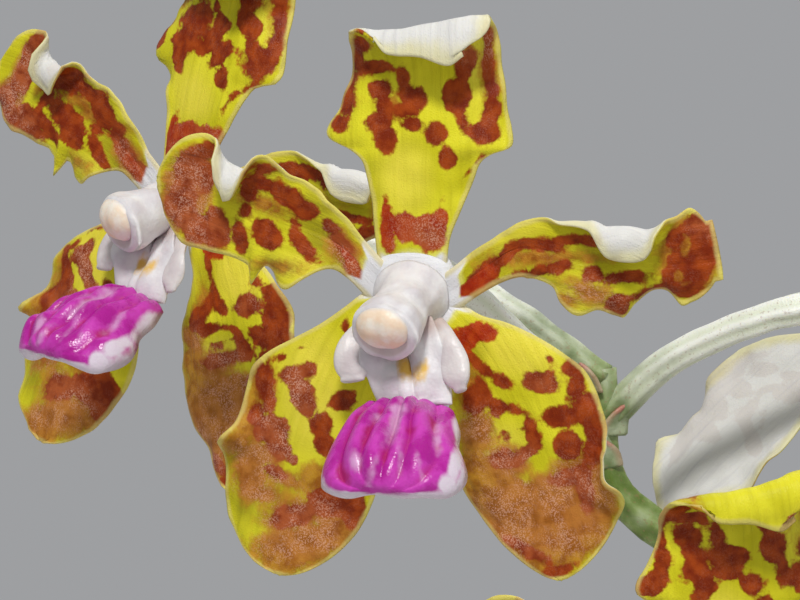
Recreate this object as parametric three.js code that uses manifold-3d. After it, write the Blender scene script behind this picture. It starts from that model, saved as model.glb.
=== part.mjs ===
// A potted orchid: a strap-leaved vanda in bark in a plain clay pot, with one arching spike of
// spotted flowers. Millimetres, +Z up, and the origin is the centre of the pot's underside.
// The spike leans to -X, its first flower looks to -Y, and the two rows of leaves run close to Y.
import * as THREE from "three";
import { mergeVertices } from "three/addons/utils/BufferGeometryUtils.js";
import Module from "manifold-3d";

const wasm = await Module();
wasm.setup();

// Driving dimensions, in millimetres and degrees
const POT = { height: 112, topRadius: 62, baseRadius: 46, wall: 5, floor: 7, rimHeight: 22, rimOut: 4 };
const DRAIN = { holes: 4, radius: 4.5, ring: 27 };
const BARK = { top: 96, seat: 0.4, chunks: 20, chunkSize: 22 };
const STEM = {
  bottom: 84, firstLeaf: 104, spacing: 13, leaves: 12,
  halfDepth: 4, halfWidth: 4.4, flare: 3.4, spikeAxil: [3, 4, 5],
};
const FAN_TURN = 76; // the plane of the leaves, from +X towards +Y
const LEAF = { length: 172, halfWidth: 8.6, thickness: 1.3 };
const ROOT_RADIUS = 2.3;
const TEPAL_THICKNESS = 0.7;
const LIP_THICKNESS = 0.8;
const GAP = 0.32; // between pieces that touch on the real plant

// Small tools
const deg = THREE.MathUtils.degToRad;
const vec = (x, y, z) => new THREE.Vector3(x, y, z);

// Seeded random numbers from 0 to 1
function seeded(seed) {
  let state = seed;
  return () => {
    state = (state * 1664525 + 1013904223) % 4294967296;
    return state / 4294967296;
  };
}

// A smooth curve through [place, value] pairs, read at u. A plain number is the same all along.
function track(pairs, u) {
  if (typeof pairs === "number") return pairs;
  const last = pairs.length - 1;
  let i = 0;
  while (i < last - 1 && u >= pairs[i + 1][0]) i += 1;
  const slope = (k) => {
    const a = pairs[Math.max(k - 1, 0)];
    const b = pairs[Math.min(k + 1, last)];
    return (b[1] - a[1]) / (b[0] - a[0]);
  };
  const step = pairs[i + 1][0] - pairs[i][0];
  const s = THREE.MathUtils.clamp((u - pairs[i][0]) / step, 0, 1);
  return (
    (2 * s ** 3 - 3 * s ** 2 + 1) * pairs[i][1] +
    (s ** 3 - 2 * s ** 2 + s) * step * slope(i) +
    (3 * s ** 2 - 2 * s ** 3) * pairs[i + 1][1] +
    (s ** 3 - s ** 2) * step * slope(i + 1)
  );
}

function geometryFrom(points, triangles) {
  const geometry = new THREE.BufferGeometry().setFromPoints(points);
  geometry.setIndex(triangles);
  return geometry;
}

function solid(geometry) {
  return new wasm.Manifold(
    new wasm.Mesh({
      numProp: 3,
      vertProperties: new Float32Array(geometry.getAttribute("position").array),
      triVerts: new Uint32Array(geometry.index.array),
    }),
  );
}

// A solid from one of three.js's own closed geometries, with its seams joined and its poles cleaned
function closedPrimitive(geometry) {
  geometry.deleteAttribute("normal");
  geometry.deleteAttribute("uv");
  const merged = mergeVertices(geometry, 1e-3);
  const corners = Array.from(merged.index.array);
  const triangles = [];
  for (let i = 0; i < corners.length; i += 3) {
    const [a, b, c] = corners.slice(i, i + 3);
    if (a !== b && b !== c && a !== c) triangles.push(a, b, c);
  }
  merged.setIndex(triangles);
  return solid(merged);
}

// A solid less the tools that reach it. Cutting can leave loose scraps, so the largest body stays.
function cut(body, tools) {
  const reaching = tools.filter((tool) => body.intersect(tool).volume() > 0);
  if (reaching.length === 0) return body;
  const left = reaching.reduce((rest, tool) => rest.subtract(tool), body);
  return left.decompose().reduce((best, piece) => (piece.volume() > best.volume() ? piece : best));
}

function union(solids) {
  return solids.reduce((all, next) => all.add(next));
}

// Rings of points, one after another, closed at both ends by a middle point
function lofted(rings) {
  const around = rings[0].length;
  const points = rings.flat();
  const triangles = [];
  for (let i = 0; i < rings.length - 1; i += 1) {
    for (let j = 0; j < around; j += 1) {
      const a = i * around + j;
      const b = i * around + ((j + 1) % around);
      triangles.push(a, b, b + around, a, b + around, a + around);
    }
  }
  const middle = (ring) => ring.reduce((sum, p) => sum.add(p), vec(0, 0, 0)).divideScalar(around);
  const start = points.push(middle(rings[0])) - 1;
  const end = points.push(middle(rings[rings.length - 1])) - 1;
  const lastRing = (rings.length - 1) * around;
  for (let j = 0; j < around; j += 1) {
    const k = (j + 1) % around;
    triangles.push(start, k, j, end, lastRing + j, lastRing + k);
  }
  const made = solid(geometryFrom(points, triangles));
  if (made.volume() > 0) return made;
  for (let i = 0; i < triangles.length; i += 3) {
    [triangles[i + 1], triangles[i + 2]] = [triangles[i + 2], triangles[i + 1]];
  }
  return solid(geometryFrom(points, triangles));
}

// A body along a smooth path; section(v, angle) gives the [side, up] place of a point of its ring
function bodyAlong(places, up, rows, around, section) {
  const curve = new THREE.CatmullRomCurve3(places, false, "centripetal");
  const rings = [];
  for (let i = 0; i <= rows; i += 1) {
    const v = i / rows;
    const along = curve.getTangentAt(v);
    const side = along.clone().cross(up).normalize();
    const rise = side.clone().cross(along);
    const ring = [];
    for (let j = 0; j < around; j += 1) {
      const [x, y] = section(v, (2 * Math.PI * j) / around);
      ring.push(curve.getPointAt(v).addScaledVector(side, x).addScaledVector(rise, y));
    }
    rings.push(ring);
  }
  return lofted(rings);
}

const round = (radius) => (v, angle) => {
  const r = track(radius, v);
  return [r * Math.cos(angle), r * Math.sin(angle)];
};

// The middle surface of a blade: a leaf, a sepal, a petal or a lobe of the lip.
// It starts at spec.start along the frame's first axis, with its front along the frame's third.
// bend turns it towards its front, sway to its left, twist lifts its left edge. cup is the angle
// of both halves at the midrib, and each edge curls by its own angle, round its own fold.
const CURL_SPAN = 0.35;
const FINE_STEPS = 120;
const SECTION_STEPS = 24;

function bladeGrid(spec, frame, rows, columns, grow) {
  const [ahead, , front] = frame;
  const path = [];
  const place = spec.start.clone();
  for (let i = 0; i <= FINE_STEPS; i += 1) {
    const u = i / FINE_STEPS;
    const d = ahead.clone();
    const n = front.clone();
    d.applyAxisAngle(n, deg(track(spec.sway ?? 0, u)));
    const s = n.clone().cross(d);
    d.applyAxisAngle(s, -deg(track(spec.bend ?? 0, u)));
    n.applyAxisAngle(s, -deg(track(spec.bend ?? 0, u)));
    s.applyAxisAngle(d, deg(track(spec.twist ?? 0, u)));
    n.applyAxisAngle(d, deg(track(spec.twist ?? 0, u)));
    if (i > 0) place.addScaledVector(d, spec.length / FINE_STEPS);
    path.push({ place: place.clone(), d, s, n });
  }
  return rows.map((u) => {
    const at = path[Math.round(u * FINE_STEPS)];
    const x = Math.max(0, (u - spec.tipFrom) / (1 - spec.tipFrom));
    const tip = Math.max(Math.sqrt(Math.max(0, 1 - x * x)), spec.tipLeast ?? 0.3);
    return columns.map((t) => {
      const hand = t >= 0 ? "Left" : "Right";
      const width = track(spec["width" + hand], u) * tip + grow;
      const fold = track(spec["fold" + hand] ?? 0.62, u);
      let out = 0;
      let lift = 0;
      for (let k = 0; k < SECTION_STEPS; k += 1) {
        const q = ((k + 0.5) / SECTION_STEPS) * Math.abs(t);
        const s = THREE.MathUtils.clamp((q - fold + CURL_SPAN) / (2 * CURL_SPAN), 0, 1);
        const angle = deg(track(spec.cup ?? 0, u) + track(spec["curl" + hand] ?? 0, u) * s * s * (3 - 2 * s));
        out += Math.cos(angle);
        lift += Math.sin(angle);
      }
      const share = (width * Math.abs(t)) / SECTION_STEPS;
      const cut = spec.notch ? track(spec.notch, t) * THREE.MathUtils.smoothstep(u, 0.88, 1) : 0;
      return at.place
        .clone()
        .addScaledVector(at.s, Math.sign(t) * out * share)
        .addScaledVector(at.n, lift * share)
        .addScaledVector(at.d, cut);
    });
  });
}

// A closed blade of even thickness round its middle surface, split alike on both faces
function blade(spec, frame, rows, columns, thickness, grow = 0) {
  const grid = bladeGrid(spec, frame, rows, columns, grow);
  const n = rows.length;
  const m = columns.length;
  const points = [];
  for (const side of [1, -1]) {
    for (let i = 0; i < n; i += 1) {
      for (let j = 0; j < m; j += 1) {
        const along = grid[Math.min(i + 1, n - 1)][j].clone().sub(grid[Math.max(i - 1, 0)][j]);
        const across = grid[i][Math.min(j + 1, m - 1)].clone().sub(grid[i][Math.max(j - 1, 0)]);
        const normal = along.cross(across).normalize();
        points.push(grid[i][j].clone().addScaledVector(normal, side * (thickness / 2 + grow)));
      }
    }
  }
  const back = n * m;
  const triangles = [];
  for (let i = 0; i < n - 1; i += 1) {
    for (let j = 0; j < m - 1; j += 1) {
      const a = i * m + j;
      triangles.push(a, a + m, a + m + 1, a, a + m + 1, a + 1);
      triangles.push(a + back, a + m + 1 + back, a + m + back, a + back, a + 1 + back, a + m + 1 + back);
    }
  }
  const rim = [];
  for (let j = 0; j < m - 1; j += 1) rim.push(j);
  for (let i = 0; i < n - 1; i += 1) rim.push(i * m + m - 1);
  for (let j = m - 1; j > 0; j -= 1) rim.push((n - 1) * m + j);
  for (let i = n - 1; i > 0; i -= 1) rim.push(i * m);
  rim.forEach((a, k) => {
    const b = rim[(k + 1) % rim.length];
    triangles.push(a, b, b + back, a, b + back, a + back);
  });
  return solid(geometryFrom(points, triangles));
}

// The flower, in its own frame: X to its right seen from the front, Y up, Z out of its face.
// Every tepal is a blade in the X-Y plane. Pairs are [share of the length, value].
const TEPALS = {
  dorsalSepal: {
    azimuth: 89, start: vec(0, 1.2, 0), length: 25, tipFrom: 0.88, tipLeast: 0.55,
    widthLeft: [
      [0, 3], [0.12, 3.2], [0.26, 3.5], [0.34, 4], [0.4, 4.5], [0.44, 5.8], [0.475, 8],
      [0.52, 8.3], [0.6, 7.2], [0.7, 6.3], [0.8, 5.7], [0.86, 5.1], [0.92, 4.6], [1, 4.4],
    ],
    widthRight: [
      [0, 3], [0.12, 3.4], [0.24, 4.6], [0.34, 5.6], [0.4, 6.2], [0.43, 7.2],
      [0.455, 8.9], [0.52, 8.9], [0.62, 8.3], [0.78, 8.1], [0.88, 7.8], [1, 10.4],
    ],
    bend: [[0, 10], [0.2, 2], [0.5, -4], [0.75, 2], [0.86, 50], [0.93, 140], [1, 165]],
    sway: [[0, 0], [0.6, 0], [0.8, 8], [1, 4]],
    cup: [[0, 0], [0.4, 4], [0.8, -4], [1, 0]],
    curlLeft: [[0, 0], [0.3, -10], [0.5, -30], [0.75, -30], [0.85, -10], [1, 0]],
    curlRight: [[0, 0], [0.3, -10], [0.5, -30], [0.75, -30], [0.85, -10], [1, 0]],
    rows: [0, 0.2, 0.38, 0.47, 0.65, 0.84, 0.92, 1], columns: [-1, -0.5, 0, 0.5, 1],
  },
  petalLeft: {
    azimuth: 133, start: vec(-2.4, -0.6, 0), length: 24.4, tipFrom: 0.78,
    widthLeft: [
      [0, 1.6], [0.14, 1.7], [0.22, 2.2], [0.3, 4.4], [0.36, 5.8], [0.42, 5.9], [0.47, 5.1],
      [0.5, 5], [0.535, 7], [0.57, 5.3], [0.72, 5], [0.82, 5.4], [0.92, 5.9], [1, 6.8],
    ],
    widthRight: [
      [0, 1.6], [0.12, 1.6], [0.2, 1.9], [0.3, 3], [0.4, 4], [0.47, 4], [0.52, 4.2],
      [0.58, 5.2], [0.63, 5.6], [0.67, 6.3], [0.73, 6.3], [0.8, 5.2], [0.92, 4.9], [1, 3.6],
    ],
    bend: [[0, 12], [0.2, 4], [0.6, -6], [1, -4]],
    sway: [[0, -4], [0.15, 0], [0.35, 22], [0.5, 28], [0.65, 28], [0.8, 28], [0.9, 38], [1, 46]],
    cup: [[0, 0], [0.3, 14], [0.7, 4], [1, 0]],
    foldRight: [[0, 0.62], [0.6, 0.62], [0.66, 0.54], [0.73, 0.56], [0.8, 0.62], [1, 0.62]],
    curlLeft: [[0, 0], [0.3, 0], [0.44, -40], [0.5, -30], [0.535, -30], [0.6, -20], [1, 0]],
    curlRight: [[0, 0], [0.3, 10], [0.5, 20], [0.6, 50], [0.66, 180], [0.73, 180], [0.8, 40], [1, 0]],
    rows: [0, 0.22, 0.38, 0.53, 0.61, 0.7, 0.84, 1], columns: [-1, -0.8, -0.45, 0, 1],
  },
  petalRight: {
    azimuth: 32, start: vec(2.4, -1.3, 0), length: 26.8, tipFrom: 0.88, tipLeast: 0.6,
    widthLeft: [
      [0, 1.5], [0.12, 1.6], [0.2, 1.7], [0.3, 1.7], [0.36, 2.3], [0.42, 3], [0.5, 4], [0.57, 4.7],
      [0.62, 5.9], [0.67, 6.8], [0.73, 6.8], [0.78, 5.7], [0.82, 4.5], [0.87, 3.9], [0.93, 4.8], [1, 5.2],
    ],
    widthRight: [
      [0, 1.5], [0.19, 1.7], [0.34, 2.6], [0.42, 2.7], [0.48, 3], [0.52, 4.1], [0.56, 4.9], [0.6, 4.3],
      [0.65, 4.9], [0.685, 5.2], [0.72, 4], [0.77, 2.9], [0.82, 2.7], [0.865, 4], [0.9, 3.8],
      [0.95, 3.6], [1, 3.6],
    ],
    bend: [[0, 12], [0.2, 4], [0.6, -4], [1, -4]],
    sway: [[0, 0], [0.28, -2], [0.4, -42], [0.5, -50], [0.6, -34], [0.7, -32], [0.85, -30], [1, -22]],
    cup: [[0, 0], [0.3, 12], [0.7, 4], [1, 0]],
    foldLeft: [[0, 0.62], [0.44, 0.85], [0.57, 0.76], [0.64, 0.56], [0.76, 0.54], [0.82, 0.6], [1, 0.62]],
    curlLeft: [
      [0, 0], [0.3, 10], [0.4, 20], [0.46, 110], [0.57, 140], [0.64, 175],
      [0.7, 180], [0.76, 180], [0.82, 80], [0.88, 10], [1, 0],
    ],
    curlRight: [[0, 0], [0.3, 0], [0.5, -30], [0.8, -20], [1, 0]],
    rows: [0, 0.22, 0.42, 0.56, 0.68, 0.77, 0.88, 1], columns: [-1, 0, 0.45, 0.8, 1],
  },
  sepalLeft: {
    azimuth: 230, start: vec(-3, -1.6, 0), length: 27, tipFrom: 0.76,
    widthLeft: [
      [0, 2.4], [0.18, 3.4], [0.36, 5.2], [0.54, 7], [0.66, 7],
      [0.73, 6.6], [0.8, 6.1], [0.87, 5.6], [1, 4.6],
    ],
    widthRight: [
      [0, 1.6], [0.1, 2.4], [0.18, 3.4], [0.25, 4.9], [0.3, 6.1], [0.36, 7.1], [0.42, 7.4], [0.5, 7.1],
      [0.55, 7.1], [0.595, 7.9], [0.64, 8.1], [0.7, 7.2], [0.8, 6.6], [0.88, 6.3], [1, 5.2],
    ],
    bend: [[0, 10], [0.2, 4], [0.6, -4], [1, 6]],
    sway: [[0, 0], [0.15, 6], [0.3, 15], [0.5, 20], [0.7, 24], [1, 28]],
    curlLeft: [[0, 0], [0.3, -10], [0.6, -30], [1, 0]],
    curlRight: [[0, 0], [0.3, -10], [0.5, -10], [0.6, 30], [0.66, -20], [1, 0]],
    cup: [[0, 0], [0.4, 0], [1, 0]],
    rows: [0, 0.2, 0.4, 0.6, 0.76, 0.9, 1], columns: [-1, -0.5, 0, 0.5, 1],
  },
  sepalRight: {
    azimuth: 318, start: vec(2.6, -2.2, 0), length: 26.8, tipFrom: 0.74,
    widthLeft: [
      [0, 1.4], [0.1, 2.1], [0.17, 3.6], [0.25, 5.2], [0.32, 6.5], [0.4, 7.7], [0.52, 7.7],
      [0.58, 7.6], [0.64, 6.9], [0.7, 6.9], [0.76, 7.2], [0.82, 7], [0.9, 6], [1, 4.6],
    ],
    widthRight: [[0, 2], [0.17, 2.8], [0.32, 5], [0.49, 7], [0.665, 6.9], [0.8, 5.4], [0.9, 4.4], [1, 3.6]],
    bend: [[0, 10], [0.2, 4], [0.6, -4], [1, 6]],
    sway: [[0, 0], [0.12, -8], [0.25, -17], [0.4, -25], [0.6, -30], [0.75, -33], [1, -38]],
    foldLeft: [[0, 0.62], [0.5, 0.8], [0.7, 0.85], [0.8, 0.62], [1, 0.62]],
    curlLeft: [
      [0, 0], [0.3, -10], [0.5, -20], [0.56, 0], [0.62, 70],
      [0.7, 80], [0.77, 10], [0.82, -20], [1, 0],
    ],
    curlRight: [[0, 0], [0.3, -10], [0.6, -30], [1, 0]],
    cup: [[0, 0], [0.4, 0], [1, 0]],
    rows: [0, 0.2, 0.42, 0.64, 0.78, 0.9, 1], columns: [-1, 0, 0.5, 0.8, 1],
  },
};

// The white foot of the lip: a claw below the column and an upright lobe on each side of it
const LIP_BASE = {
  claw: {
    azimuth: 278, start: vec(0, -3.8, 1.8), length: 7.4, tipFrom: 0.9, tipLeast: 1,
    widthLeft: [[0, 3], [0.5, 3.6], [1, 3.7]],
    widthRight: [[0, 3], [0.5, 3], [1, 3.2]],
    bend: [[0, 34], [1, 30]], cup: [[0, 25], [1, -5]],
    curlLeft: [[0, 20], [1, -30]], curlRight: [[0, 20], [1, -30]],
    rows: [0, 0.4, 1], columns: [-1, -0.4, 0.4, 1],
  },
  earLeft: {
    azimuth: 236, start: vec(-3.2, -3.1, 1.8), length: 6, tipFrom: 0.4,
    widthLeft: [[0, 1.8], [0.5, 3.3], [1, 3.4]], widthRight: [[0, 0.8], [0.5, 1.6], [1, 2]],
    bend: [[0, 34], [0.5, 26], [1, 16]], sway: [[0, -8], [1, 36]], cup: [[0, 10], [1, 0]],
    curlLeft: 10, curlRight: [[0, 10], [1, 30]],
    rows: [0, 0.5, 1], columns: [-1, 0, 1],
  },
  earRight: {
    azimuth: 302, start: vec(2.6, -3.2, 2.2), length: 7, tipFrom: 0.6,
    widthLeft: [[0, 0.7], [0.5, 1.3], [1, 1.5]], widthRight: [[0, 0.7], [0.5, 1.3], [1, 1.4]],
    bend: [[0, 36], [0.5, 28], [1, 16]], sway: [[0, 6], [1, -16]], cup: 0,
    curlLeft: [[0, 10], [1, -10]], curlRight: 10,
    rows: [0, 0.5, 1], columns: [-1, 0, 1],
  },
};

const LIP_BLADE = {
  path: [vec(0.4, -10.2, 5.6), vec(0.4, -11.6, 8.2), vec(0.4, -14, 12), vec(0.3, -16.4, 15.4)],
  halfWidth: [[0, 4.1], [0.2, 5.2], [0.5, 6.2], [0.8, 6.3], [0.93, 5.3], [1, 3.4]],
  top: [[0, 0.8], [0.15, 1.5], [0.5, 2], [0.8, 2.2], [1, 1.3]],
  under: [[0, 0.8], [0.5, 1], [0.8, 1.4], [1, 0.9]],
  droop: 0.035, ridges: 5, ridgeHeight: 0.14,
};

const COLUMN = {
  path: [vec(0, 0.5, 1.2), vec(0, -0.4, 2.6), vec(-0.2, -1.8, 4.6), vec(-0.5, -3.5, 7.5)],
  radius: [[0, 2.9], [0.3, 3], [0.6, 3.1], [0.85, 3.1], [1, 1.8]],
};

const HUB = { radius: 4.1, front: 0.85, back: 1.5 };

// The frame of a blade that starts in the X-Y plane at an azimuth
function flatFrame(azimuth) {
  const ahead = vec(Math.cos(deg(azimuth)), Math.sin(deg(azimuth)), 0);
  const front = vec(0, 0, 1);
  return [ahead, front.clone().cross(ahead), front];
}

const flatBlade = (spec, thickness, grow = 0) =>
  blade(spec, flatFrame(spec.azimuth), spec.rows, spec.columns, thickness, grow);

function columnSolid(grow = 0) {
  const radius = COLUMN.radius.map(([v, r]) => [v, r + grow]);
  return bodyAlong(COLUMN.path, vec(0, 1, 0), 5, 8, round(radius));
}

function lipBladeSolid(grow = 0) {
  return bodyAlong(LIP_BLADE.path, vec(0, 1, 0), 6, 12, (v, angle) => {
    const x = (track(LIP_BLADE.halfWidth, v) + grow) * Math.cos(angle);
    const ridge = 1 + LIP_BLADE.ridgeHeight * Math.cos(2 * LIP_BLADE.ridges * angle);
    const rise = Math.sin(angle);
    const height = rise > 0 ? track(LIP_BLADE.top, v) * ridge : track(LIP_BLADE.under, v);
    return [x, (height + grow) * rise - LIP_BLADE.droop * x * x];
  });
}

function lipBaseSolid(grow = 0) {
  return union(Object.values(LIP_BASE).map((lobe) => flatBlade(lobe, LIP_THICKNESS, grow)));
}

// One flower's four pieces. reflex bends each tepal back by so many degrees.
function flowerPieces(reflex = {}) {
  const tepals = Object.entries(TEPALS).map(([name, spec]) => {
    const back = reflex[name] ?? 0;
    const bent = { ...spec, bend: spec.bend.map(([u, angle]) => [u, angle - back]) };
    return flatBlade(bent, TEPAL_THICKNESS);
  });
  const disc = new THREE.CylinderGeometry(HUB.radius, HUB.radius * 0.7, HUB.front + HUB.back, 10, 1);
  disc.rotateX(Math.PI / 2).translate(0, 0, (HUB.front - HUB.back) / 2);
  const lip = lipBladeSolid();
  return {
    tepals: cut(union([closedPrimitive(disc), ...tepals]), [columnSolid(GAP), lipBaseSolid(GAP)]),
    column: columnSolid(),
    lip_base: cut(lipBaseSolid(), [columnSolid(GAP), lipBladeSolid(GAP)]),
    lip_blade: lip,
  };
}

// Where each flower sits. yaw 0 looks to -Y, and a negative yaw turns it to -X.
const FIRST_HUB = vec(-100, -62, 380);
const BLOOMS = [
  { hub: vec(0, 0, 0), yaw: -14, pitch: -6, roll: 0, reflex: {} },
  { hub: vec(-21.9, 26, 8.6), yaw: -40, pitch: 4, roll: -9, reflex: { petalRight: 10, petalLeft: -12 } },
  {
    hub: vec(46, 34, -4), yaw: 128, pitch: -12, roll: 16,
    reflex: { sepalRight: 16, petalRight: -30, dorsalSepal: -26 },
  },
  { hub: vec(28.2, 2, -40.2), yaw: 8, pitch: -14, roll: 4, reflex: { petalLeft: 8 } },
  { hub: vec(22, 60, -62), yaw: -136, pitch: -6, roll: -4, reflex: {} },
  { hub: vec(26, 14, -92), yaw: -50, pitch: -8, roll: 3, reflex: { dorsalSepal: 6 } },
];

const plant = new THREE.Group();

const flowers = BLOOMS.map((bloom) => {
  const flower = new THREE.Group();
  flower.position.copy(FIRST_HUB).add(bloom.hub);
  flower.rotation.x = Math.PI / 2;
  const face = new THREE.Group();
  face.rotation.set(-deg(bloom.pitch), deg(bloom.yaw), deg(bloom.roll), "YXZ");
  flower.add(face);
  plant.add(flower);
  return face;
});
plant.updateMatrixWorld(true);

// The spike: a rachis that leans to -X, and a stalk from it to the back of each flower
const RACHIS = [
  vec(-3, 0, 180), vec(-11, -3, 200), vec(-18, -9, 234), vec(-27, -15, 266), vec(-38, -21, 297),
  vec(-50, -26, 322), vec(-61, -28, 341), vec(-72.8, -28, 353.8), vec(-80.4, -28, 360.5),
  vec(-81.4, -29, 372),
];
const RACHIS_RADIUS = [[0, 2.6], [0.5, 2.2], [0.9, 1.8], [1, 1.3]];
const STALK_RADIUS = [[0, 1.5], [0.5, 1.4], [0.85, 1.7], [1, 2]];
const STALK_FROM = [0.96, 0.995, 0.975, 0.83, 0.7, 0.56]; // share of the rachis where each stalk leaves it

function stalkPath(flower, from) {
  const end = flower.localToWorld(vec(0, 0, -HUB.back - GAP));
  const behind = flower.localToWorld(vec(0, 0, -HUB.back - 8));
  const rachis = new THREE.CatmullRomCurve3(RACHIS, false, "centripetal");
  const root = rachis.getPointAt(from);
  const leave = root.clone().lerp(behind, 0.35).addScaledVector(rachis.getTangentAt(from), 2.5);
  return [root, leave, behind, end];
}

function spikeSolid() {
  const rachis = bodyAlong(RACHIS, vec(0, -1, 0.2), 16, 7, round(RACHIS_RADIUS));
  const stalks = flowers.map((flower, k) =>
    bodyAlong(stalkPath(flower, STALK_FROM[k]), vec(0.1, 0.2, 1), 6, 6, round(STALK_RADIUS)),
  );
  return union([rachis, ...stalks]);
}

// The stem, wrapped by the sheaths of two rows of leaves. Each sheath widens upwards to the mouth
// that its leaf leaves from, and the next one on that side starts again close to the stem.
const fan = vec(Math.cos(deg(FAN_TURN)), Math.sin(deg(FAN_TURN)), 0);
const leafSide = (k) => (k % 2 ? 1 : -1);
const mouthHeight = (k) => STEM.firstLeaf + STEM.spacing * k + 16;

function stemSolid(grow = 0) {
  const around = 10;
  const levels = [STEM.bottom - grow, STEM.firstLeaf - 2];
  for (let k = 0; k < STEM.leaves; k += 1) levels.push(mouthHeight(k), mouthHeight(k) + 1.2);
  const top = mouthHeight(STEM.leaves - 1) + 12;
  const flare = (side, z) => {
    const first = side < 0 ? 0 : 1;
    const turns = (z - mouthHeight(first) - 0.01) / (2 * STEM.spacing);
    return z < STEM.firstLeaf || z > top - 12.01 ? 0 : STEM.flare * (turns - Math.floor(turns));
  };
  const ringAt = (z, scale) =>
    Array.from({ length: around }, (_, j) => {
      const angle = (2 * Math.PI * j) / around;
      const side = Math.cos(angle) < 0 ? -1 : 1;
      const along = (STEM.halfDepth + flare(side, z) * Math.abs(Math.cos(angle))) * scale + grow;
      const across = STEM.halfWidth * scale + grow;
      return vec(0, 0, z)
        .addScaledVector(fan, along * Math.cos(angle))
        .addScaledVector(vec(-fan.y, fan.x, 0), across * Math.sin(angle));
    });
  return lofted([...levels.map((z) => ringAt(z, 1)), ringAt(top, 0.35)]);
}

// A leaf: a channelled strap that arches over, cut off unevenly at its end
function leafSolid(k, grow = 0) {
  const side = leafSide(k);
  const share = k / (STEM.leaves - 1);
  const rise = deg(track([[0, 40], [0.5, 56], [1, 74]], share));
  const outward = fan.clone().multiplyScalar(side);
  const ahead = outward.clone().multiplyScalar(Math.cos(rise)).setZ(Math.sin(rise));
  const front = outward.clone().multiplyScalar(-Math.sin(rise)).setZ(Math.cos(rise));
  const half = LEAF.halfWidth;
  const wobble = 5 * Math.sin(2.4 * k + 0.7);
  const spec = {
    start: outward.clone().multiplyScalar(STEM.halfDepth + 0.8).setZ(mouthHeight(k) - 1),
    length: LEAF.length * track([[0, 0.8], [0.35, 1], [0.7, 0.92], [1, 0.62]], share),
    tipFrom: 0.9, tipLeast: 0.72,
    widthLeft: [[0, half], [0.5, half], [0.9, half - 1], [1, half - 1.6]],
    widthRight: [[0, half], [0.5, half], [0.9, half - 1.2], [1, half - 2.4]],
    bend: [[0, 0], [0.3, -14], [0.7, -50 + 28 * share ** 2], [1, -78 + 44 * share ** 2]],
    sway: [[0, 0], [0.4, wobble * 0.4], [1, wobble]],
    twist: [[0, 0], [1, wobble * 1.2]],
    cup: [[0, 62], [0.15, 50], [0.5, 34], [1, 22]],
    notch: [[-1, -2.5], [-0.55, 1.5], [0, -7], [0.5, 2.5], [1, -1]],
  };
  const frame = [ahead, front.clone().cross(ahead), front];
  const rows = [0, 0.12, 0.27, 0.42, 0.57, 0.72, 0.87, 1];
  return blade(spec, frame, rows, [-1, -0.5, 0, 0.5, 1], LEAF.thickness, grow);
}

// Roots: thick and pale, from low on the stem, some into the bark and some over the pot's rim
const ROOTS = [
  [
    vec(-4, -3, 112), vec(-18, -12, 122), vec(-40, -24, 124), vec(-60, -34, 121),
    vec(-71, -40, 110), vec(-72, -41, 88), vec(-68, -40, 66),
  ],
  [
    vec(4, 3, 118), vec(18, -4, 128), vec(40, -14, 130), vec(62, -24, 124),
    vec(75, -29, 110), vec(76, -30, 90),
  ],
  [vec(3, -4, 108), vec(12, -16, 112), vec(20, -30, 106), vec(26, -40, 92)],
  [vec(-4, 2, 106), vec(-16, 8, 112), vec(-30, 18, 107), vec(-38, 24, 92)],
  [vec(3, 4, 106), vec(16, 14, 110), vec(28, 24, 104), vec(34, 30, 90)],
];

function rootSolid(places, grow = 0) {
  const rows = Math.round(places.length * 2.2);
  const radius = [[0, ROOT_RADIUS], [0.8, ROOT_RADIUS * 0.95], [1, ROOT_RADIUS * 0.6]];
  return bodyAlong(places, vec(0.1, 0.2, 1), rows, 7, round(radius.map(([v, r]) => [v, r + grow])));
}

// The pot: a turned clay wall with a rim band, and drain holes round its solid middle
function lathe(profile, segments) {
  const points = [...profile, profile[0]].map(([r, z]) => new THREE.Vector2(r, z));
  return closedPrimitive(new THREE.LatheGeometry(points, segments).rotateX(Math.PI / 2));
}

const potInside = (z) =>
  THREE.MathUtils.mapLinear(z, 0, POT.height, POT.baseRadius - POT.wall, POT.topRadius - POT.wall);

function potSolid() {
  const outside = (z) => THREE.MathUtils.mapLinear(z, 0, POT.height, POT.baseRadius, POT.topRadius);
  const rimFoot = POT.height - POT.rimHeight;
  const wall = lathe([
    [0, 0], [POT.baseRadius - 1.5, 0], [POT.baseRadius, 1.5],
    [outside(rimFoot), rimFoot], [outside(rimFoot) + POT.rimOut, rimFoot + 2],
    [POT.topRadius + POT.rimOut, POT.height - 3], [POT.topRadius + POT.rimOut - 2.5, POT.height],
    [POT.topRadius - POT.wall + 2, POT.height], [POT.topRadius - POT.wall, POT.height - 2],
    [potInside(POT.floor), POT.floor], [0, POT.floor],
  ], 36);
  return Array.from({ length: DRAIN.holes }).reduce((pot, _, k) => {
    const angle = deg(45 + (360 * k) / DRAIN.holes);
    const hole = new THREE.CylinderGeometry(DRAIN.radius, DRAIN.radius, 4 * POT.floor, 12);
    hole.rotateX(Math.PI / 2).translate(DRAIN.ring * Math.cos(angle), DRAIN.ring * Math.sin(angle), 0);
    return pot.subtract(closedPrimitive(hole));
  }, wall);
}

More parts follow.
